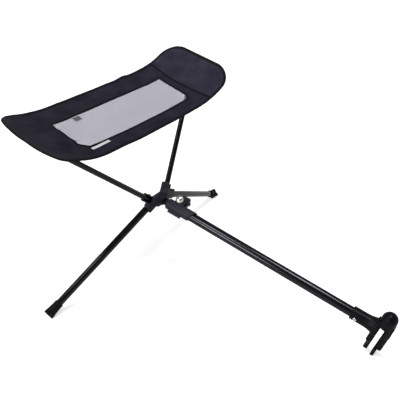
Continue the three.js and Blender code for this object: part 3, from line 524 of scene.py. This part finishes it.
FOOT_START = 0.2705
FOOT_BORE = 0.0073
FOOT_TOP_RADIUS, FOOT_NECK_RADIUS, FOOT_WAIST_RADIUS, FOOT_RIM_RADIUS = 0.0085, 0.0088, 0.0097, 0.0128
FOOT_BAND, FOOT_BAND_STEP = 0.006, 0.0006
FOOT_RIM_START, FOOT_SHOULDER = 0.2945, 0.001
FOOT_LOBES, FOOT_LOBE_DEPTH, FOOT_LOBE_TURN = 4, 0.0042, math.radians(8)
FOOT_FILLET = 0.0009


def feet():
    """Rubber cups: a band round the top, a waist that widens, and a lobed rim cut flat where it stands."""
    band_end = FOOT_START + FOOT_BAND
    profile = [
        (0, LEG_END - FOOT_FLOOR), (FOOT_BORE, LEG_END - FOOT_FLOOR), (FOOT_BORE, FOOT_START),
        (FOOT_NECK_RADIUS, FOOT_START), (FOOT_NECK_RADIUS, band_end),
        (FOOT_TOP_RADIUS, band_end + FOOT_BAND_STEP), (FOOT_WAIST_RADIUS, FOOT_RIM_START - FOOT_SHOULDER),
        (FOOT_WAIST_RADIUS + FOOT_SHOULDER, FOOT_RIM_START),
        (FOOT_RIM_RADIUS, FOOT_RIM_START, FOOT_LOBE_DEPTH), (FOOT_RIM_RADIUS, LEG_END, FOOT_LOBE_DEPTH),
        (0, LEG_END),
    ]
    for side, word in SIDES:
        turned_piece(
            f"{word}_foot_cup", f"{word}_foot", profile, tube_frame(LEG_DIRECTION, side), "foot_rubber",
            f"{word}_leg_body", fillet=FOOT_FILLET, lobes=FOOT_LOBES, lobe_turn=FOOT_LOBE_TURN * side,
            floor_cut=True,
        )


DOME_STEPS = 12
BOLT_FILLET, WASHER_FILLET, KNOB_FILLET = 0.0002, 0.0003, 0.0012


def clamp_hardware():
    seat = -EAR_OUTER - RUNNING_GAP * 2 - WASHER_THICKNESS
    dome = []
    for step in range(DOME_STEPS + 1):
        angle = step / DOME_STEPS * math.pi / 2
        dome.append((CAP_RADIUS * math.sin(angle), seat - CAP_HEIGHT * math.cos(angle)))
    knob_start = EAR_OUTER + RUNNING_GAP
    head_start = knob_start + KNOB_NECK_LENGTH
    reach = head_start + KNOB_THICKNESS / 2
    bolt = dome + [(BOLT_RADIUS, seat), (BOLT_RADIUS, reach), (0, reach)]
    turned_piece(
        "clamp_bolt_domed", "clamp_bolt", bolt, BOLT_FRAME, "bright_steel", "arm", fillet=BOLT_FILLET,
    )
    wall = CAP_RADIUS - BOLT_RADIUS - RUNNING_GAP
    washer = tube_profile(CAP_RADIUS, wall, seat + RUNNING_GAP, seat + WASHER_THICKNESS)
    turned_piece(
        "clamp_washer_round", "clamp_washer", washer, BOLT_FRAME, "bright_steel", "arm", fillet=WASHER_FILLET,
    )

    end = head_start + KNOB_THICKNESS
    bore = BOLT_RADIUS + RUNNING_GAP
    full = KNOB_LOBE_DEPTH
    knob = [
        (0, reach + RUNNING_GAP), (bore, reach + RUNNING_GAP), (bore, knob_start),
        (KNOB_NECK_RADIUS, knob_start),
        (KNOB_NECK_RADIUS, head_start - KNOB_FLARE), (KNOB_RADIUS - KNOB_CHAMFER, head_start, full),
        (KNOB_RADIUS, head_start + KNOB_CHAMFER_LENGTH, full), (KNOB_RADIUS, end - KNOB_CHAMFER_LENGTH, full),
        (KNOB_RADIUS - KNOB_END_CHAMFER, end, full), (KNOB_RADIUS - KNOB_DISH_RIM, end, full / 2),
        (KNOB_RADIUS - KNOB_DISH_EDGE, end - KNOB_DISH_DEPTH), (KNOB_BOSS_FOOT, end - KNOB_DISH_DEPTH),
        (KNOB_BOSS_TOP, end - KNOB_BOSS_BELOW), (0, end - KNOB_BOSS_BELOW),
    ]
    turned_piece(
        "clamp_knob_lobed", "clamp_knob", knob, BOLT_FRAME, "hub_plastic", "knob",
        fillet=KNOB_FILLET, lobes=KNOB_LOBES,
    )


# The sling


def sling_curl(x):
    return SLING_END_RISE * (abs(x) / SLING_HALF_LENGTH) ** SLING_CURL_POWER


SLING_MIDDLE = HUB + Vector((
    0,
    POLE_TIP.y + SLING_SHIFT_BACK,
    POLE_TIP.z + SLING_ABOVE_TIP - sling_curl(POLE_TIP.x) + SLING_TILT * SLING_SHIFT_BACK,
))


def sling_edge(x):
    return SLING_HALF_WIDTH - SLING_END_NARROWING * (x / SLING_HALF_LENGTH) ** 2


SLING_CORNER_ACROSS = sling_edge(SLING_CORNER_X) - SLING_CORNER_RADIUS


def sling_normal(x):
    slope = SLING_CURL_POWER * sling_curl(x) / x if x else 0
    return Vector((-slope, -SLING_TILT, 1)).normalized()


def hill(distance, reach):
    return math.exp(-((distance / reach) ** 2))


# Slack and folds, each (x, across, reach along, reach across, height, turn in degrees).
FOLDS = [
    (-0.172, -0.062, 0.034, 0.034, -0.0030, 0),
    (-0.108, -0.078, 0.040, 0.018, 0.0032, 4),
    (0.120, -0.074, 0.050, 0.014, -0.0010, -6),
    (-0.190, 0.052, 0.034, 0.008, 0.0020, 28),
    (-0.172, 0.020, 0.036, 0.007, -0.0017, 12),
    (-0.178, -0.024, 0.032, 0.007, 0.0018, -14),
    (-0.196, -0.058, 0.030, 0.007, -0.0016, -30),
    (-0.226, 0.020, 0.020, 0.010, 0.0014, 40),
    (0.196, 0.040, 0.024, 0.008, 0.0018, -60),
    (0.214, 0.004, 0.008, 0.038, 0.0019, 4),
    (0.200, -0.036, 0.008, 0.030, 0.0016, -8),
    (0.226, -0.030, 0.009, 0.026, -0.0016, 6),
    (0.238, 0.030, 0.010, 0.022, 0.0012, 22),
    (-0.212, -0.002, 0.009, 0.036, 0.0016, -5),
    (0.165, 0.062, 0.030, 0.007, 0.0017, 24),
    (0.150, -0.060, 0.028, 0.007, -0.0015, -22),
    (-0.050, 0.060, 0.060, 0.008, 0.0015, 3),
    (0.050, 0.064, 0.045, 0.007, -0.0015, -4),
    (0.010, -0.070, 0.060, 0.007, 0.0013, -2),
    (0.100, 0.066, 0.020, 0.006, 0.0014, 50),
    (0.082, 0.070, 0.018, 0.005, -0.0013, -46),
    (0.000, 0.000, 0.120, 0.030, -0.0024, 0),
]
PLEAT_AT, PLEAT_REACH, PLEAT_HEIGHT = 0.092, 0.015, 0.0032
RIPPLE_HEIGHT, RIPPLE_REACH, RIPPLE_SCALE, RIPPLE_SIDE, RIPPLE_SEED = 0.0009, 0.016, 22, 3.7, 0.4
CREASE_HEIGHT, CREASE_SCALE, CREASE_SEED = 0.0003, 60, 2.1

# How far the ends drop below the curl, and how the left end is drawn in at its rear tip and along its edges.
END_EASE, END_EASE_POWER = 0.0072, 9
LEFT_TIP_PULL, LEFT_TIP_DROP, LEFT_TIP_POWER, LEFT_TIP_SOFTNESS = 0.024, 0.010, 6, 0.25
LEFT_BULGE, LEFT_TUCK, LEFT_BULGE_AT, LEFT_BULGE_REACH = 0.004, 0.0085, 0.205, 0.042
LEFT_TAPER, LEFT_TAPER_FROM, LEFT_TAPER_REACH = 0.016, 0.195, 0.060


def sling_fold(x, across):
    """How far the cloth stands off its taut shape."""
    total = 0.0
    for middle_x, middle_across, reach_x, reach_across, height, degrees in FOLDS:
        turn = math.radians(degrees)
        dx, dy = x - middle_x, across - middle_across
        along = dx * math.cos(turn) + dy * math.sin(turn)
        aside = dy * math.cos(turn) - dx * math.sin(turn)
        total += height * hill(along, reach_x) * hill(aside, reach_across)
    to_edge = sling_edge(x) - abs(across)
    side = 1 if across > 0 else -1
    ripple = noise.noise(Vector((x * RIPPLE_SCALE, side * RIPPLE_SIDE, RIPPLE_SEED)))
    total += RIPPLE_HEIGHT * ripple * hill(max(to_edge, 0), RIPPLE_REACH)
    if across > 0:
        total += PLEAT_HEIGHT * hill(x - PLEAT_AT, PLEAT_REACH) * hill(to_edge, RIPPLE_REACH)
    crease = noise.noise(Vector((x * CREASE_SCALE, across * CREASE_SCALE, CREASE_SEED)))
    return total + CREASE_HEIGHT * crease


def sling_point(x, across, lift=0.0):
    """A point on the sling, given its place along and across, lifted off the surface."""
    out = abs(x) / SLING_HALF_LENGTH
    aside = across / SLING_HALF_WIDTH
    tip = 0
    if x < 0:
        tip = (aside + math.hypot(aside, LEFT_TIP_SOFTNESS)) / 2 * out ** LEFT_TIP_POWER
    bulge = LEFT_BULGE if across > 0 else -LEFT_TUCK
    shift = bulge * hill(x + LEFT_BULGE_AT, LEFT_BULGE_REACH) * aside
    if across > 0:
        share = min(max((-x - LEFT_TAPER_FROM) / LEFT_TAPER_REACH, 0), 1)
        shift -= LEFT_TAPER * aside ** 2 * share ** 2 * (3 - 2 * share)
    height = sling_curl(x) - END_EASE * out ** END_EASE_POWER - LEFT_TIP_DROP * tip + SLING_TILT * across
    base = SLING_MIDDLE + Vector((x + LEFT_TIP_PULL * tip, across + shift, height))
    return base + sling_normal(x) * (lift + sling_fold(x, across))


def looped(rear_right, rear_left, front_left, front_right):
    """A closed loop of (x, across) pairs from its four quarters, each from an end to the middle of a side."""
    loop = rear_right[:-1] + [(-x, y) for x, y in rear_left[:0:-1]]
    return loop + [(-x, -y) for x, y in front_left[:-1]] + [(x, -y) for x, y in front_right[:0:-1]]


def mixed(start, end, share):
    """The pair that lies a share of the way from one pair to another."""
    return start[0] + (end[0] - start[0]) * share, start[1] + (end[1] - start[1]) * share


def between(start, end, count):
    """Even steps from one pair to another, without the last one."""
    return [mixed(start, end, step / count) for step in range(count)]


END_STEPS = 14
CORNER_STEPS = 16
SIDE_STEPS = 70
CHAMFER_STEPS = 6


def sling_outline(inset=0.0):
    end = SLING_HALF_LENGTH - inset
    radius = SLING_CORNER_RADIUS - inset
    quarter = between((end, 0), (end, SLING_CORNER_ACROSS), END_STEPS)
    for step in range(CORNER_STEPS):
        angle = step / CORNER_STEPS * math.pi / 2
        across = SLING_CORNER_ACROSS + radius * math.sin(angle)
        quarter.append((SLING_CORNER_X + radius * math.cos(angle), across))
    for step in range(SIDE_STEPS + 1):
        x = SLING_CORNER_X * (1 - step / SIDE_STEPS)
        quarter.append((x, sling_edge(x) - inset))
    return looped(quarter, quarter, quarter, quarter)


def window_skewed(x, across):
    """The window leans: its front edge lies further left than its rear edge."""
    return x - WINDOW_SKEW * (WINDOW_REAR - across) / (WINDOW_REAR + WINDOW_FRONT), across


def window_outline(margin=0.0):
    """The window's edge, with as many points as the sling's outline, moved outwards by the margin."""
    length = WINDOW_HALF_LENGTH + margin
    steps = CORNER_STEPS + SIDE_STEPS - CHAMFER_STEPS
    quarters = []
    for corner, width in zip(WINDOW_CORNERS, (WINDOW_REAR, WINDOW_REAR, WINDOW_FRONT, WINDOW_FRONT)):
        cut = corner + margin * (2 - math.sqrt(2))
        short, long = (length, width + margin - cut), (length - cut, width + margin)
        quarter = between((length, 0), short, END_STEPS) + between(short, long, CHAMFER_STEPS)
        for step in range(steps + 1):
            share = 1 - step / steps
            quarter.append((long[0] * share, long[1] + WINDOW_BOW * (1 - share ** 2)))
        quarters.append(quarter)
    return [window_skewed(x, across) for x, across in looped(*quarters)]


def mixed_loop(inner, outer, share):
    return [mixed(start, end, share) for start, end in zip(inner, outer)]


def flat_area(loop):
    """The area inside a loop of pairs, laid flat along the curl."""
    lengths = [curl_length(x) for x, across in loop]
    total = 0.0
    for step, (x, across) in enumerate(loop):
        following = (step + 1) % len(loop)
        total += lengths[step] * loop[following][1] - lengths[following] * across
    return abs(total) / 2 / math.cos(math.atan(SLING_TILT))


CURL_STEPS = 60


def curl_length(x):
    """The length of cloth from the sling's middle to x along it."""
    total = 0.0
    for step in range(CURL_STEPS):
        low, high = x * step / CURL_STEPS, x * (step + 1) / CURL_STEPS
        total += math.hypot(high - low, sling_curl(high) - sling_curl(low))
    return math.copysign(total, x)


# The window's binding in section, as (distance outwards, lift) pairs.
HEM_ROWS = [
    (0.0001, -0.0008), (0, 0), (0.0005, HEM_LIFT), (0.0014, HEM_LIFT * 1.1), (0.003, HEM_LIFT),
    (HEM_WIDTH - 0.0004, HEM_LIFT), (HEM_WIDTH, HEM_LIFT * 0.6),
]
CLOTH_ROWS = 34


def sling_cloth():
    """The cloth round the window, from under the window's binding to the outer edge."""
    inner, outer = window_outline(HEM_OVERLAP), sling_outline()
    loops = [mixed_loop(inner, outer, step / CLOTH_ROWS) for step in range(CLOTH_ROWS + 1)]
    rows = [[sling_point(x, across) for x, across in loop] for loop in loops]
    mesh = grid_mesh("sling_fabric", rows, close_columns=True)
    return thickened(added("sling_fabric", mesh, "sling_fabric", stands_for=["sling_cloth"]), CLOTH_THICKNESS)


def window_binding():
    """Tape folded over the cloth's inner edge, round the window."""
    rows = [
        [sling_point(x, across, lift) for x, across in window_outline(margin)]
        for margin, lift in HEM_ROWS
    ]
    mesh = grid_mesh("window_binding", rows, close_columns=True)
    return thickened(added("window_binding", mesh, "binding_tape", finish="plain_tape"), HEM_THICKNESS)


def net_lines(low, high):
    """Both edges of each thread, for threads spread evenly from low to high."""
    count = round((high - low) / NET_PITCH)
    places = []
    for line in range(count + 1):
        middle = low + (high - low) * line / count
        places += [middle - NET_THREAD / 2, middle + NET_THREAD / 2]
    return places


def sling_net():
    """Netting as real threads: a grid with every other face left out, a little wider than the window."""
    reach = WINDOW_HALF_LENGTH + NET_UNDERLAP
    xs = net_lines(-reach, reach)
    ys = net_lines(-WINDOW_FRONT - WINDOW_BOW - NET_UNDERLAP, WINDOW_REAR + WINDOW_BOW + NET_UNDERLAP)
    vertices = [sling_point(*window_skewed(x, y), -CLOTH_THICKNESS) for y in ys for x in xs]
    holes = len(xs) - 1
    faces = [
        face for number, face in enumerate(row_faces(len(ys), len(xs)))
        if not (number // holes % 2 and number % holes % 2)
    ]
    mesh = mesh_from("sling_netting", vertices, faces)
    return thickened(added("sling_netting", mesh, "sling_netting", stands_for=["sling_mesh"]), NET_THICKNESS)


BINDING_GRIP = 0.0052
BINDING_RADIUS = 0.0015
BINDING_GAP, BINDING_LIP, BINDING_LIP_SHARE, BINDING_DEPTH = 0.0001, 0.0004, 0.9, 0.0002
BINDING_FOLD_STEPS = 6
UV_REPEATS = 30


def sling_binding():
    """Tape folded over the cloth's edge: two flat limbs and a round fold between them."""
    radius = BINDING_RADIUS
    inner = CLOTH_THICKNESS / 2 + BINDING_GAP
    section = [
        (-BINDING_GRIP, inner), (BINDING_LIP - BINDING_GRIP, radius * BINDING_LIP_SHARE),
        (-BINDING_GRIP / 2, radius), (0, radius),
    ]
    for step in range(1, BINDING_FOLD_STEPS):
        angle = math.pi / 2 - step / BINDING_FOLD_STEPS * math.pi
        section.append((radius * math.cos(angle), radius * math.sin(angle)))
    section += [(out, -lift) for out, lift in section[3::-1]]
    section += [(-BINDING_DEPTH, -inner), (-BINDING_DEPTH, inner)]
    loops = {out: sling_outline(-out) for out, lift in section}
    count = len(loops[0])
    rows = [[sling_point(*loops[out][step], lift) for out, lift in section] for step in range(count)]
    mesh = grid_mesh("edge_binding", rows, flip=True, close_rows=True, close_columns=True)
    layer = mesh.uv_layers.new(name="UVMap")
    sides = len(section)
    for polygon in mesh.polygons:
        for corner in polygon.loop_indices:
            vertex = mesh.loops[corner].vertex_index
            layer.data[corner].uv = (vertex // sides / count * UV_REPEATS, vertex % sides / sides)
    return added("edge_binding", mesh, "binding_tape", stands_for=["sling_binding"])


# The end panels: a second layer of cloth from a curved seam to the edge, and a stiff board below the sling.

SEAM_AT, SEAM_BOW, SEAM_MIDDLE = 0.1715, 1.35, -0.018
BOARD_START = SEAM_AT + 0.0055
PANEL_ROWS, PANEL_COLUMNS = 34, 56
PANEL_INSET = 0.0012
# The turned-in edge of an end panel in section, as (distance outwards, lift) pairs.
SEAM_ROLL = [(0, 0.0002), (0.0004, 0.0011), (0.0012, 0.0017), (0.0024, 0.0015), (0.0042, PANEL_LIFT)]


def seam_x(across):
    return SEAM_AT + SEAM_BOW * (across - SEAM_MIDDLE) ** 2


def end_x(across, inset):
    """Where the sling's outline, drawn in by the inset, ends at this place across."""
    radius = SLING_CORNER_RADIUS - inset
    past = max(0.0, abs(across) - SLING_CORNER_ACROSS)
    return SLING_CORNER_X + math.sqrt(max(0.0, radius ** 2 - past ** 2))


def end_rows(side, inset, start, roll, lift):
    """Rows of points over an end of the sling, from the seam outwards."""
    half = sling_edge(SLING_CORNER_X) - inset
    rows = []
    places = [(0, distance, height) for distance, height in roll]
    places += [(step / PANEL_ROWS, roll[-1][0], lift) for step in range(1, PANEL_ROWS + 1)]
    for share, distance, height in places:
        row = []
        for column in range(PANEL_COLUMNS + 1):
            across = half * math.sin((column / PANEL_COLUMNS * 2 - 1) * math.pi / 2)
            low = start(across) + distance
            x = low + (end_x(across, inset) - low) * share
            row.append(sling_point(x * side, across, height))
        rows.append(row)
    return rows


def end_panels():
    below = -BOARD_DROP - BOARD_THICKNESS / 2
    # The right panel wears the lighter weave and the left one the sling's darker weave: painted light on the
    # right end, painted shade on the left.
    for (side, word), finish in zip(SIDES, ("panel_fabric_painted_light", "sling_fabric")):
        rows = end_rows(side, PANEL_INSET, seam_x, SEAM_ROLL, PANEL_LIFT)
        mesh = grid_mesh(f"{word}_end_panel", rows, flip=side > 0)
        thickened(added(f"{word}_end_panel", mesh, "sling_fabric", finish=finish), PANEL_THICKNESS)
        rows = end_rows(side, BOARD_INSET, lambda across: BOARD_START, [(0, below)], below)
        mesh = grid_mesh(f"{word}_stiffener", rows, flip=side > 0)
        name = f"{word}_end_board"
        board = added(f"{word}_stiffener", mesh, "hub_plastic", finish="panel_fabric_painted_light", stands_for=[name])
        thickened(board, BOARD_THICKNESS)


# Painted shade of the seam's groove on the right panel: a dark strip in section, as (distance outwards, lift)
# pairs.
SEAM_SHADE_SECTION = [(-0.0018, 0.0004), (-0.0015, 0.0016), (-0.0003, 0.0021), (0.001, 0.0022), (0.0014, 0.0014)]
SEAM_SHADE_INSET = 0.004


def seam_shade_strip():
    """A dark strip along the right end panel's seam: painted shade for the shadow in its groove."""
    half = SLING_HALF_WIDTH - SEAM_SHADE_INSET
    places = [half * (column / PANEL_COLUMNS * 2 - 1) for column in range(PANEL_COLUMNS + 1)]
    rows = [
        [sling_point(seam_x(across) + distance, across, lift) for across in places]
        for distance, lift in SEAM_SHADE_SECTION
    ]
    mesh = grid_mesh("right_seam_painted_shade", rows, flip=True)
    return thickened(added("right_seam_painted_shade", mesh, "binding_tape", finish="plain_tape"), HEM_THICKNESS)


# Stitching, label and tag

# One stitch as (place along, width) shares of half its length and of its radius.
STITCH_RINGS = [(-1.0, 0.25), (-0.75, 0.85), (0, 1.0), (0.75, 0.85), (1.0, 0.25)]
STITCH_SIDES = 6
STITCH_SHARP_DEGREES = 80
SHORTEST_STEP = 1e-7
HEM_STITCH_SHARE, WINDOW_STITCH_OUT = 0.65, 0.0022
BINDING_STITCH_INSET, BINDING_STITCH_SHARE = 0.0012, 0.93
SEAM_STITCHES, SEAM_STITCH_INSET, SEAM_STITCH_LIFT = (0.003, 0.0075), 0.008, 0.0003
SEAM_STITCH_STEPS = 30


def stitch_line(path, closed, lift):
    """Stitches along a path of (x, across) pairs: their vertices and faces."""
    points = [sling_point(x, across, lift) for x, across in path]
    lifts = [sling_normal(x) for x, across in path]
    if closed:
        points.append(points[0])
        lifts.append(lifts[0])
    vertices, faces = [], []
    waited = 0.0
    for start, end, up in zip(points, points[1:], lifts):
        reach = (end - start).length
        if reach < SHORTEST_STEP:
            continue
        along = (end - start) / reach
        across = up.cross(along).normalized()
        lifted = along.cross(across)
        place = STITCH_SPACING - waited
        while place <= reach:
            middle = start + along * place
            first = len(vertices)
            for share, width in STITCH_RINGS:
                for side in range(STITCH_SIDES):
                    angle = side / STITCH_SIDES * math.tau
                    spoke = across * math.cos(angle) + lifted * math.sin(angle)
                    length = along * (share * STITCH_LENGTH / 2)
                    vertices.append(middle + length + spoke * (width * STITCH_RADIUS))
            faces += row_faces(len(STITCH_RINGS), STITCH_SIDES, close_columns=True, first=first)
            faces.append(tuple(range(first, first + STITCH_SIDES)))
            last = len(vertices) - STITCH_SIDES
            faces.append(tuple(range(len(vertices) - 1, last - 1, -1)))
            place += STITCH_SPACING
        waited = reach - (place - STITCH_SPACING)
    return vertices, faces


def stitching():
    lines = [
        (window_outline(HEM_WIDTH * HEM_STITCH_SHARE), True, HEM_LIFT + HEM_THICKNESS / 2),
        (window_outline(HEM_WIDTH + WINDOW_STITCH_OUT), True, CLOTH_THICKNESS / 2),
        (sling_outline(BINDING_GRIP - BINDING_STITCH_INSET), True, BINDING_RADIUS * BINDING_STITCH_SHARE),
    ]
    half = SLING_HALF_WIDTH - SEAM_STITCH_INSET
    places = [half * (step / SEAM_STITCH_STEPS - 1) for step in range(SEAM_STITCH_STEPS * 2 + 1)]
    lift = PANEL_LIFT + PANEL_THICKNESS / 2 + SEAM_STITCH_LIFT
    for side, word in SIDES:
        for distance in SEAM_STITCHES:
            lines.append(([(side * (seam_x(across) + distance), across) for across in places], False, lift))
    vertices, faces = [], []
    for path, closed, lift in lines:
        more, more_faces = stitch_line(path, closed, lift)
        faces += [tuple(corner + len(vertices) for corner in face) for face in more_faces]
        vertices += more
    mesh = welded(mesh_from("sling_stitching", vertices, faces), STITCH_SHARP_DEGREES)
    return added("sling_stitching", mesh, "sling_fabric", finish="sewing_thread")


LABEL_X, LABEL_ACROSS = (-0.1512, -0.1085), (-0.0645, -0.0580)
LABEL_LIFT, LABEL_PUFF, LABEL_THICKNESS = 0.0009, 0.0003, 0.0005
TAG_X, TAG_ACROSS = (-0.1080, -0.0925), (0.0215, 0.0325)
TAG_LIFT, TAG_PUFF, TAG_THICKNESS = 0.0012, 0.0004, 0.0006
PATCH_COLUMNS, PATCH_ROWS = 40, 8
PATCH_BORDER, PATCH_CREASE, PATCH_CREASE_SCALE = 0.0012, 0.0001, 300


def patch(name, stands_for, slot, along, across, lift, puff, thickness):
    """A strip of cloth that follows the sling, its border pressed down by the stitches."""
    length, width = along[1] - along[0], across[1] - across[0]
    rows = []
    for row in range(PATCH_ROWS + 1):
        points = []
        for column in range(PATCH_COLUMNS + 1):
            share_x, share_y = column / PATCH_COLUMNS, row / PATCH_ROWS
            x, y = along[0] + length * share_x, across[0] + width * share_y
            border = min(share_x * length, (1 - share_x) * length, share_y * width, (1 - share_y) * width)
            crease = noise.noise(Vector((x * PATCH_CREASE_SCALE, y * PATCH_CREASE_SCALE, 0)))
            raised = puff * (1 - hill(border, PATCH_BORDER)) + PATCH_CREASE * crease
            points.append(sling_point(x, y, lift + raised))
        rows.append(points)
    return thickened(added(name, grid_mesh(name, rows), slot, stands_for=[stands_for]), thickness)


def patches():
    label = patch(
        "blank_label", "label_patch", "patch_fabric", LABEL_X, LABEL_ACROSS,
        LABEL_LIFT, LABEL_PUFF, LABEL_THICKNESS,
    )
    tag = patch("blank_tag", "side_tag", "tag_fabric", TAG_X, TAG_ACROSS, TAG_LIFT, TAG_PUFF, TAG_THICKNESS)
    return [label, tag]


# CAD nodes that keep their shape

# Moulded nodes, remeshed in steps of this size so that their edges can be smoothed.
SOFTENED = {"hub_body": 0.0006, "clamp_sleeve": 0.0005, "clip_body": 0.0005}
SMOOTH_FACTOR, SMOOTH_STEPS = 0.5, 5
EDGE_WIDTH, EDGE_SEGMENTS, EDGE_DEGREES = 0.0003, 2, 30
FINISHES = {"clip_body": "clip_plastic"}


def dressed(node, finish):
    """Gives a CAD node its finish and soft edges; its own mesh stays as it is."""
    obj = nodes[node]
    mesh = obj.data
    mesh.materials.clear()
    mesh.materials.append(MATERIALS[finish])
    if "custom_normal" in mesh.attributes:
        mesh.attributes.remove(mesh.attributes["custom_normal"])
    mesh.shade_smooth()
    obj.modifiers.new("weld", "WELD").merge_threshold = WELD_REACH
    if node in SOFTENED:
        remesh = obj.modifiers.new("soft_mould", "REMESH")
        remesh.mode = "VOXEL"
        remesh.voxel_size = SOFTENED[node]
        remesh.use_smooth_shade = True
        smooth = obj.modifiers.new("soft_edges", "SMOOTH")
        smooth.factor = SMOOTH_FACTOR
        smooth.iterations = SMOOTH_STEPS
        return
    bevel = obj.modifiers.new("edges", "BEVEL")
    bevel.width = EDGE_WIDTH
    bevel.segments = EDGE_SEGMENTS
    bevel.limit_method = "ANGLE"
    bevel.angle_limit = math.radians(EDGE_DEGREES)
    obj.modifiers.new("shading", "WEIGHTED_NORMAL")


tubes()
feet()
clamp_hardware()
cloth = sling_cloth()
sling_net()
binding = sling_binding()
hem = window_binding()
end_panels()
# The seam's dark strip is painted shade for the shadow in the groove.
tape = seam_shade_strip()
stitches = stitching()
labels = patches()

slots = {part["node"]: part["material_slot"] for part in frame["record"]["subparts"]}
for node in sorted(set(nodes) - REPLACED):
    dressed(node, FINISHES.get(node, slots[node]))

outline_area = flat_area(sling_outline())
window_area = flat_area(window_outline(HEM_OVERLAP))


# Floor, light and camera

FLOOR_REACH, FLOOR_COLOR, FLOOR_ROUGHNESS = 14, (0.8, 0.8, 0.8), 0.9
# The floor's own glow: what the camera sees of it, what reflections do, and how much stronger it is far away.
FLOOR_GLOW_SEEN, FLOOR_GLOW_MIRRORED = 0.66, 0.06
FLOOR_GLOW_FAR, FLOOR_NEAR, FLOOR_FAR = 1.45, 0.9, 5.0
WORLD_LIGHT = 0.12
# Reflections of the world dim by this much between these two heights of the direction's unit vector.
CEILING_FROM, CEILING_TO, CEILING_DIMMED = 0.06, 0.38, 0.84
# Each lamp's place from the hub, its size and its power.
LAMPS = {
    "over_arm": ((0.25, -0.5, 3.0), (1.3, 0.9), 50),
    "over_left": ((-1.2, 0.67, 2.7), (0.6, 1.2), 28),
    "low_left": ((-2.65, 0.75, 0.95), (0.95, 0.8), 38),
}


def floor():
    """A pale floor that a camera sees as white, apart from the object's shadow."""
    corners = [(x * FLOOR_REACH, y * FLOOR_REACH, 0) for x, y in ((-1, -1), (1, -1), (1, 1), (-1, 1))]
    mesh = mesh_from("floor", corners, [(0, 1, 2, 3)])
    made = bpy.data.objects.new("floor", mesh)
    bpy.context.scene.collection.objects.link(made)
    shader = Shader("floor", FLOOR_COLOR, FLOOR_ROUGHNESS)
    shader.set("Specular IOR Level", 0.0)
    distance = shader.node("ShaderNodeVectorMath", operation="LENGTH")
    shader.link(shader.place(), distance.inputs[0])
    fade = shader.span(distance.outputs["Value"], 1.0, FLOOR_GLOW_FAR, FLOOR_NEAR, FLOOR_FAR)
    glow = shader.node("ShaderNodeEmission")
    strength = shader.math("MULTIPLY", shader.by_ray(FLOOR_GLOW_SEEN, FLOOR_GLOW_MIRRORED), fade)
    shader.link(strength, glow.inputs["Strength"])
    both = shader.node("ShaderNodeAddShader")
    shader.link(shader.principled.outputs["BSDF"], both.inputs[0])
    shader.link(glow.outputs["Emission"], both.inputs[1])
    shader.link(both.outputs["Shader"], shader.tree.nodes["Material Output"].inputs["Surface"])
    mesh.materials.append(shader.material)


def world():
    """White to the camera, and in reflections dimmer overhead, as a studio is."""
    made = bpy.data.worlds.new("world")
    bpy.context.scene.world = made
    made.use_nodes = True
    tree = Nodes(made.node_tree)
    background = made.node_tree.nodes["Background"]
    background.inputs["Color"].default_value = (1, 1, 1, 1)
    height = tree.node("ShaderNodeSeparateXYZ")
    tree.link(tree.node("ShaderNodeTexCoord").outputs["Generated"], height.inputs[0])
    dimming = tree.span(height.outputs["Z"], 0.0, -CEILING_DIMMED, CEILING_FROM, CEILING_TO)
    mirrored = tree.node("ShaderNodeLightPath").outputs["Is Glossy Ray"]
    strength = tree.math("MULTIPLY_ADD", mirrored, dimming, tree.by_ray(1.0, 1.0, WORLD_LIGHT))
    tree.link(strength, background.inputs["Strength"])


def area_lamp(name, place, size, power):
    data = bpy.data.lights.new(name, "AREA")
    data.shape = "RECTANGLE"
    data.size, data.size_y = size
    data.energy = power
    lamp = bpy.data.objects.new(name, data)
    bpy.context.scene.collection.objects.link(lamp)
    lamp.location = HUB + Vector(place)
    lamp.rotation_euler = (-Vector(place)).to_track_quat("-Z", "Y").to_euler()


def camera():
    data = bpy.data.cameras.new("camera")
    data.lens = CAMERA_LENS
    data.sensor_width = CAMERA_SENSOR
    made = bpy.data.objects.new("camera", data)
    bpy.context.scene.collection.objects.link(made)
    made.rotation_mode = "QUATERNION"
    turn = CAMERA_FORWARD.to_track_quat("-Z", "Y").to_matrix().to_4x4()
    made.location = HUB + CAMERA_FROM_HUB
    made.rotation_quaternion = (turn @ Matrix.Rotation(CAMERA_ROLL, 4, "Z")).to_quaternion()
    bpy.context.scene.camera = made


floor()
world()
for name, (place, size, power) in LAMPS.items():
    area_lamp(name, place, size, power)
camera()

bpy.context.scene.view_settings.view_transform = "Standard"
